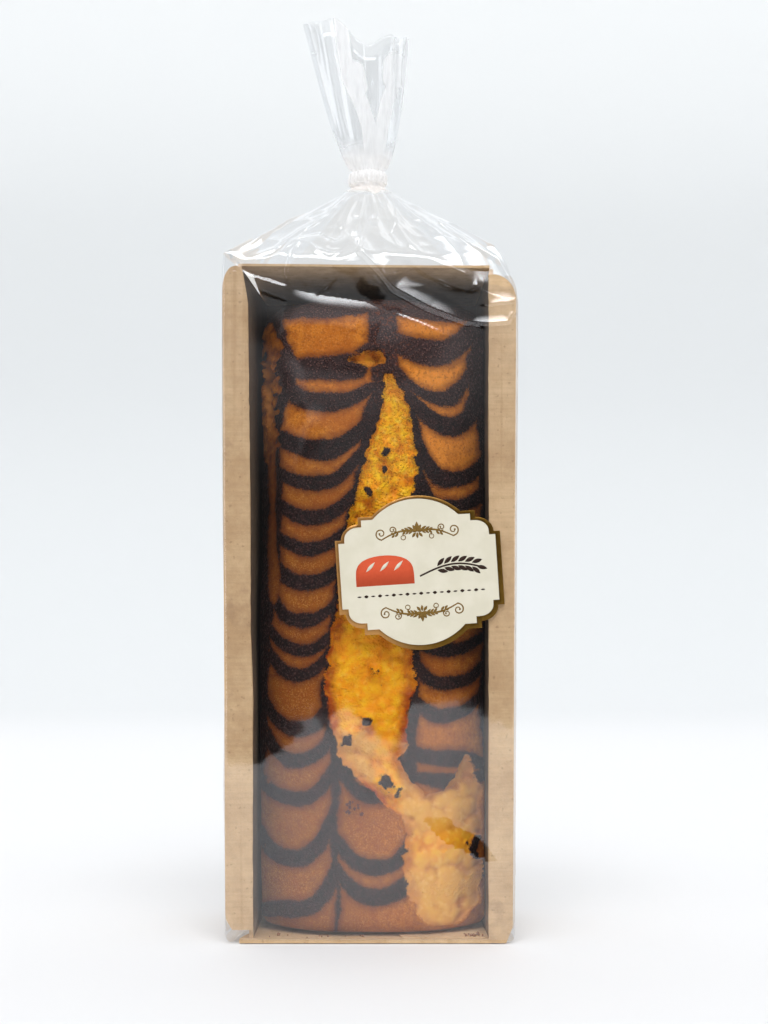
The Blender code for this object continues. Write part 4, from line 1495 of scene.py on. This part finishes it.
# %% The outline
def label_outline():
    """One quarter, from the right side up to the middle of the top, then its reflections."""
    turn = np.linspace(0, math.pi / 2, 24)
    ear_x = EAR_IN + (EAR_OUT - EAR_IN) * np.cos(turn)
    ear_z = SIDE_TOP + (EAR_TOP - SIDE_TOP) * np.sin(turn)
    rise = HALF_HEIGHT - STEP_TOP
    radius = (STEP_X**2 + rise**2) / (2 * rise)
    swing = math.asin(STEP_X / radius) * np.linspace(1, 0, 30)
    arch_x, arch_z = radius * np.sin(swing), HALF_HEIGHT - radius * (1 - np.cos(swing))
    x = np.concatenate([[HALF_WIDTH, HALF_WIDTH], ear_x, [EAR_IN], arch_x])
    z = np.concatenate([[0, SIDE_TOP], ear_z, [STEP_TOP], arch_z])
    quarter = np.stack([x, z], axis=-1)
    upper = np.concatenate([quarter, quarter[-2::-1] * [-1, 1]])
    return np.concatenate([upper, upper[-2:0:-1] * [1, -1]])


def moved_in(outline, distance):
    """The outline moved inwards: each point goes along the middle of its two edges' normals."""
    before, after = np.roll(outline, 1, axis=0), np.roll(outline, -1, axis=0)

    def normal(a, b):
        d = b - a
        return np.stack([-d[:, 1], d[:, 0]], axis=-1) / np.linalg.norm(d, axis=-1, keepdims=True)

    first, second = normal(before, outline), normal(outline, after)
    middle = first + second
    middle /= np.linalg.norm(middle, axis=-1, keepdims=True)
    stretch = 1 / np.maximum((middle * first).sum(axis=-1, keepdims=True), 0.5)
    return outline + middle * stretch * distance


def on_label(x, z, proud):
    """Places label points on the pack: turned by the tilt, and proud of the paper's face."""
    cos, sin = math.cos(LABEL_TILT), math.sin(LABEL_TILT)
    world_x = LABEL_X + x * cos - z * sin
    world_z = LABEL_Z + x * sin + z * cos
    return np.stack([world_x, LABEL_BACK - proud + 0 * world_x, world_z], axis=-1)


# %% The label's paper and border
def build_label(paper, foil):
    """Rings from the outline inwards: back, edge, border and the lower face inside it. The
    border's rings take the foil."""
    outline = label_outline()
    inner = moved_in(outline, BORDER) + FOIL_SHIFT
    rings = [(moved_in(outline, 0.05), 0.0), (outline, 0.05), (outline, LABEL_THICK - 0.05)]
    rings += [(moved_in(outline, 0.06), LABEL_THICK), (inner, LABEL_THICK)]
    rings += [(moved_in(inner, 0.06), PRINT_FACE)]
    rings += [(inner * share, PRINT_FACE) for share in (0.9, 0.6, 0.3)]
    grid = np.stack([on_label(ring[:, 0], ring[:, 1], proud) for ring, proud in rings])
    back = np.stack([on_label(outline[:, 0] * s, outline[:, 1] * s, 0.0) for s in (0.3, 0.7, 0.95)])
    grid = np.concatenate([back, grid])
    points, faces = tube_shell(grid)
    ring_of = np.repeat(np.arange(len(grid) - 1), len(outline))
    is_foil = (ring_of >= 5) & (ring_of <= 7)
    kinds = np.concatenate([is_foil, np.zeros(2 * len(outline), dtype=bool)]).astype(int)
    thing = make_piece("label", points, faces, [paper, foil], kinds)
    thing.data.set_sharp_from_angle(angle=math.radians(40))
    return thing


# %% Strokes of print
def ribbon(x, z, width, low, thick):
    """A thin ribbon along a path: the path moved half the width to each side."""
    path = np.stack([x, z], axis=-1)
    along = np.gradient(path, axis=0)
    along /= np.maximum(np.linalg.norm(along, axis=-1, keepdims=True), 1e-6)
    half = (np.broadcast_to(width, x.shape) / 2)[:, None]
    side = np.stack([-along[:, 1], along[:, 0]], axis=-1) * half
    edges = (path + side, path - side)
    front = np.stack([on_label(e[:, 0], e[:, 1], low + thick) for e in edges], axis=1)
    back = np.stack([on_label(e[:, 0], e[:, 1], low) for e in edges], axis=1)
    return board_shell(front, back)


def stroke(shells, x, z, width, kind):
    """A printed stroke. It lies a hair above the one before, so that a crossing is clean. Its
    width is one number, or one for each point of the path."""
    low = PRINT_FACE + 0.001 + 0.0003 * len(shells.points)
    shells.add(*ribbon(x, z, width, low, 0.01), kind=kind)


def leaf(shells, x, z, length, width, angle, kind):
    """A pointed oval: a stroke whose width swells and closes again."""
    share = np.linspace(0, 1, 11)
    wide = width * np.sin(math.pi * np.clip(share, 0.02, 0.98)) ** 0.8
    along = length * share
    stroke(shells, x + along * math.cos(angle), z + along * math.sin(angle), wide, kind)


def curl(shells, x, z, start, end, angle, turns, width, kind):
    """A spiral from one radius to a smaller one round (x, z), with a dot at its heart."""
    share = np.linspace(0, 1, 48)
    radius = mix(start, end, share**0.8)
    a = angle + turns * 2 * math.pi * share
    path_x, path_z = x + radius * np.cos(a), z + radius * np.sin(a)
    stroke(shells, path_x, path_z, mix(width, width * 0.7, share), kind)
    dot = np.linspace(0, 2 * math.pi, 15)
    r = width * 0.62
    dot_x, dot_z = path_x[-1] + r * 0.5 * np.cos(dot), path_z[-1] + r * 0.5 * np.sin(dot)
    stroke(shells, dot_x, dot_z, r * 1.2, kind)


# %% Scrolls
# The curls of a scroll, each side: how far from the middle and how far up, first and last
# radius, turns, and width of the line
CURLS = (
    (12.7, 0.2, 2.1, 0.5, 1.25, 0.5),
    (8.6, 1.3, 1.5, 0.4, -1.3, 0.44),
    (5.0, -1.6, 0.9, 0.7, 1.0, 0.36),
)
# The leaves of a scroll, each side: how far from the middle, how long, and how far up
LEAVES = ((1.4, 2.2, 1.0), (2.7, 2.0, 0.8), (4.0, 1.7, 0.6), (6.6, 1.7, 0.0), (7.9, 1.5, -0.4))


def scroll(shells, height, flip):
    """A scroll with three curls each side of a cluster of leaves. flip is -1 for the lower one."""
    for side in (-1, 1):
        share = np.linspace(0, 1, 40)
        x = side * mix(1.0, 12.8, share)
        z = height + flip * (0.5 - 2.6 * share**1.4 + 0.9 * np.sin(share * math.pi))
        stroke(shells, x, z, mix(0.85, 0.42, share), 0)
        quarter = -flip * math.pi / 2
        for along, up, start, end, turns, width in CURLS:
            angle = quarter if up > 0 else -quarter
            place = (side * along, height + flip * up)
            curl(shells, *place, start, end, angle, side * flip * turns, width, 0)
        for along, size, base in LEAVES:
            for up in (-1, 1):
                lean = flip * (up * 0.62 - 0.14)
                lean = lean if side > 0 else math.pi - lean
                leaf(shells, side * along, height + flip * base, size, 0.8, lean, 0)
    for angle, size in ((90, 3.4), (58, 2.7), (122, 2.7), (20, 2.3), (160, 2.3)):
        leaf(shells, 0.0, height + flip * 0.3, size, 1.3, math.radians(angle) * flip, 0)
    for offset in (-1.3, 0.0, 1.3):
        leaf(shells, offset * 0.4, height, 2.1, 0.95, -flip * (math.pi / 2 - offset * 0.5), 0)


# %% Loaf, wheat and lozenges
def loaf_mark(shells):
    """A plain loaf from the side: a round-topped block in terracotta with three pale cuts."""
    share = np.linspace(0, 1, 60)
    middle, half, foot = -12.2, 10.2, -3.6
    x = middle + half * np.cos(math.pi * (1 - share))
    top = 10.4 * np.sin(math.pi * np.clip(share, 0.02, 0.98)) ** 0.42
    front, back = [
        np.stack([on_label(x, foot + 0 * x, proud), on_label(x, foot + top, proud)])
        for proud in (PRINT_FACE + 0.03, PRINT_FACE + 0.001)
    ]
    shells.add(*board_shell(front, back), kind=1)
    for offset in (-4.9, 0.0, 4.9):
        t = np.linspace(0, 1, 12)
        cut_x = middle + offset - 1.6 + 3.2 * t
        cut_z = foot + 5.0 + 3.2 * t
        wide = 1.1 * np.sin(math.pi * np.clip(t, 0.03, 0.97))
        shells.add(*ribbon(cut_x, cut_z, wide, PRINT_FACE + 0.035, 0.02), kind=3)


def wheat_mark(shells):
    """An ear of wheat lying along a low arch, in dark brown."""
    share = np.linspace(0, 1, 50)
    x = mix(0.0, 21.0, share)
    z = -1.2 + 3.6 * np.sin(share * math.pi * 0.8)
    stroke(shells, x, z, 0.6, 2)
    for t in np.linspace(0.3, 0.88, 6):
        cx, cz = np.interp(t, share, x), np.interp(t, share, z)
        lean = math.atan2(3.6 * 0.8 * math.pi * math.cos(t * math.pi * 0.8), 21.0)
        for side in (-1, 1):
            leaf(shells, cx, cz + side * 0.75, 3.6, 1.45, lean + side * 0.5, 2)
    leaf(shells, 20.0, np.interp(0.97, share, z), 3.8, 1.4, -0.3, 2)


def print_rule(shells):
    """A row of small lozenges under the marks."""
    for k in range(19):
        width = 1.05 if k % 2 else 0.55
        leaf(shells, -22.3 + 2.4 * k, -7.2, 1.5, width, 0.0, 2)


def build_print(materials):
    """All strokes in one mesh, with three inks and the bare paper of the loaf's cuts."""
    shells = Shells()
    scroll(shells, 14.2, 1)
    scroll(shells, -13.4, -1)
    loaf_mark(shells)
    wheat_mark(shells)
    print_rule(shells)
    return shells.piece("label_print", materials)


# %% [markdown]
# ### Paper, foil and inks
#
# The paper is cream and faintly mottled. The foil is metal, and looks dark where it reflects the
# dark room in front and bright where it is turned to a lamp, so it is a real metal here. Its
# colour also carries a painted reflection: a darker olive on its right. The inks are flat, with a
# little unevenness.


# %% Label finishes
def make_paper():
    """Cream paper: a faint cloud in its colour, and fibres in its bump."""
    material, tree, shader, where = new_material("cream_paper")
    cloud = tree.noise(where, 120.0, 4.0)
    fibre = tree.noise(tree.stretch(where, (1400, 1400, 500)), 1.0, 3.0)
    colour = tree.blend(tree.step(cloud, 0.35, 0.7), srgb(213, 207, 186), srgb(220, 214, 195))
    normal = tree.bump(fibre, 0.00006, 0.5)
    connect(tree, shader, Base_Color=colour, Roughness=tree.span(fibre, 0.5, 0.62), Normal=normal)
    return material


def make_foil():
    """Foil: copper on the left, and on the right a darker olive that is a painted reflection, split
    along an uneven line; worn all over.
    """
    material, tree, shader, where = new_material("bronze_foil")
    worn = tree.noise(where, 600.0, 3.0)
    across = tree.axes(where)["X"]
    turn = tree.math("MULTIPLY_ADD", tree.noise(where, 30.0, 1.0), 0.03, across)
    copper = tree.blend(worn, srgb(176, 124, 70), srgb(206, 156, 96))
    # The darker olive on the right is a painted reflection.
    olive_painted_reflection = tree.blend(worn, srgb(88, 64, 22), srgb(122, 92, 40))
    colour = tree.blend(tree.step(turn, 0.014, 0.046), copper, olive_painted_reflection)
    normal = tree.bump(tree.noise(where, 200.0, 2.0), 0.0004, 0.5)
    connect(tree, shader, Base_Color=colour, Roughness=tree.span(worn, 0.25, 0.42), Normal=normal)
    shader.inputs["Metallic"].default_value = 1.0
    return material


def make_ink(name, dark, light):
    """A flat ink, a little uneven."""
    material, tree, shader, where = new_material(name)
    uneven = tree.noise(where, 900.0, 3.0)
    connect(tree, shader, Base_Color=tree.blend(uneven, dark, light))
    connect(tree, shader, Roughness=tree.span(uneven, 0.6, 0.75))
    shader.inputs["Specular IOR Level"].default_value = 0.2
    return material


PAPER, FOIL = make_paper(), make_foil()
GOLD_INK = make_ink("gold_ink", srgb(104, 78, 32), srgb(136, 106, 50))
RED_INK = make_ink("terracotta_ink", srgb(198, 76, 44), srgb(210, 88, 54))
BROWN_INK = make_ink("brown_ink", srgb(40, 24, 18), srgb(56, 38, 28))
label = build_label(PAPER, FOIL)
label_print = build_print([GOLD_INK, RED_INK, BROWN_INK, PAPER])
for piece in (label, label_print):
    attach(piece, "root")
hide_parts("front_label")

# %% [markdown]
# ## Floor and light
#
# A pale sweep stands under and behind the pack. The film shows what it mirrors: low down the
# pale table in front, and above it a dim room. So the light comes from above and from the
# sides, and the room in front stays dim.


# %% Floor
def make_floor_material():
    """A pale sweep that is a little darker low on its back, where it lies in shade."""
    material, tree, shader, where = new_material("pale_floor")
    _, depth, height = tree.axes(where)
    low, high = (0.63, 0.65, 0.66, 1.0), (0.86, 0.88, 0.885, 1.0)
    back = tree.blend(tree.step(height, 0.5, 1.35), low, high)
    colour = tree.blend(tree.step(depth, 0.7, 2.0), (0.74, 0.745, 0.755, 1.0), back)
    connect(tree, shader, Base_Color=colour, Roughness=0.7)
    shader.inputs["Specular IOR Level"].default_value = 0.1
    return material


TABLE_EDGE = FILM_FRONT - 1026.0  # the film mirrors the table only as far as this


def build_floor(material):
    """A sweep: the table's edge, the level top, a quarter circle up and an upright back."""
    turn = np.linspace(0, math.pi / 2, 24)
    y = np.concatenate([[TABLE_EDGE, -500, 800], 1400 + 900 * np.sin(turn), [2300]])
    z = np.concatenate([[0, 0, 0], 900 * (1 - np.cos(turn)), [4500]])
    x = np.linspace(-30000, 30000, 3)
    grid = np.stack(np.broadcast_arrays(x[None, :], y[:, None], z[:, None]), axis=-1)
    return make_piece("floor", grid, [grid_quads(len(y), len(x), False)], [material])


floor = build_floor(make_floor_material())


# %% A lamp for the backdrop
def add_lamp(name, place, aim, size, watts):
    """A flat rectangular lamp that points from its place to its aim. Places are in metres."""
    data = bpy.data.lights.new(name, "AREA")
    data.shape = "RECTANGLE"
    data.size, data.size_y = size
    data.energy = watts
    lamp = bpy.data.objects.new(name, data)
    away = np.array(place) - np.array(aim)
    lamp.location = place
    yaw = math.atan2(away[0], -away[1])
    pitch = math.atan2(math.hypot(away[0], away[1]), away[2])
    lamp.rotation_euler = (pitch, 0, yaw)
    bpy.context.scene.collection.objects.link(lamp)
    print(f"{name}: a lamp of {watts} W")


add_lamp("backdrop", (0.0, 0.7, 2.4), (0, 2.3, 0.9), (2.6, 0.8), 3)


# %% The room's light
SOFT_LIGHT, SIDE_LIGHT, TOP_LIGHT = 7.0, 1.4, 0.76  # strengths of the room's three lights


def make_room():
    """A pale room with a brighter ceiling. In front and above hangs a big soft light, whose
    edges fade, on each side stands a tall strip light, and a soft light comes from above and
    behind. Level with the pack there is one dim patch, as wide as what the flat film mirrors."""
    world = bpy.data.worlds.new("room")
    bpy.context.scene.world = world
    world.use_nodes = True
    tree = Tree(world.node_tree)
    world.node_tree.nodes.clear()
    where = tree.node("ShaderNodeTexCoord").outputs["Generated"]
    side, depth, height = tree.axes(where)
    ahead = {0: where, 1: (0.0, -0.996, 0.087)}
    ahead = tree.node("ShaderNodeVectorMath", ahead, operation="DOT_PRODUCT").outputs["Value"]
    dim = tree.step(ahead, 0.925, 0.955)
    level = tree.span(tree.step(height, 0.2, 0.9), 0.28, 0.6)
    far_wall = tree.span(tree.step(height, 0.08, 0.24), 0.05, 0.45)
    level = tree.node("ShaderNodeMix", {0: dim, 2: level, 3: far_wall}).outputs[0]
    beside = tree.math("ABSOLUTE", side)
    ahead = tree.times(depth, -1.0)
    low_edge = tree.step(height, 0.52, 0.84)
    high_edge = tree.rest(tree.step(height, 0.88, 0.97))
    wide = tree.rest(tree.step(beside, 0.2, 0.52))
    front = tree.step(ahead, 0.15, 0.4)
    soft = tree.times(low_edge, high_edge, wide, front)
    strength = tree.math("MULTIPLY_ADD", soft, SOFT_LIGHT, level)
    inner, outer = tree.step(beside, 0.66, 0.69), tree.step(beside, 0.93, 0.95)
    strip = tree.math("SUBTRACT", inner, outer)
    tall = tree.math("SUBTRACT", tree.step(height, -0.1, -0.05), tree.step(height, 0.5, 0.6))
    strip = tree.times(strip, tall, front)
    strength = tree.math("MULTIPLY_ADD", strip, SIDE_LIGHT, strength)
    behind = tree.rest(tree.step(ahead, -0.3, 0.1))
    above = tree.times(tree.step(height, 0.4, 0.75), behind)
    strength = tree.math("MULTIPLY_ADD", above, TOP_LIGHT, strength)
    light = {"Color": (0.985, 0.99, 1.0, 1.0), "Strength": strength}
    light = tree.node("ShaderNodeBackground", light)
    tree.node("ShaderNodeOutputWorld", {"Surface": light.outputs[0]})


make_room()
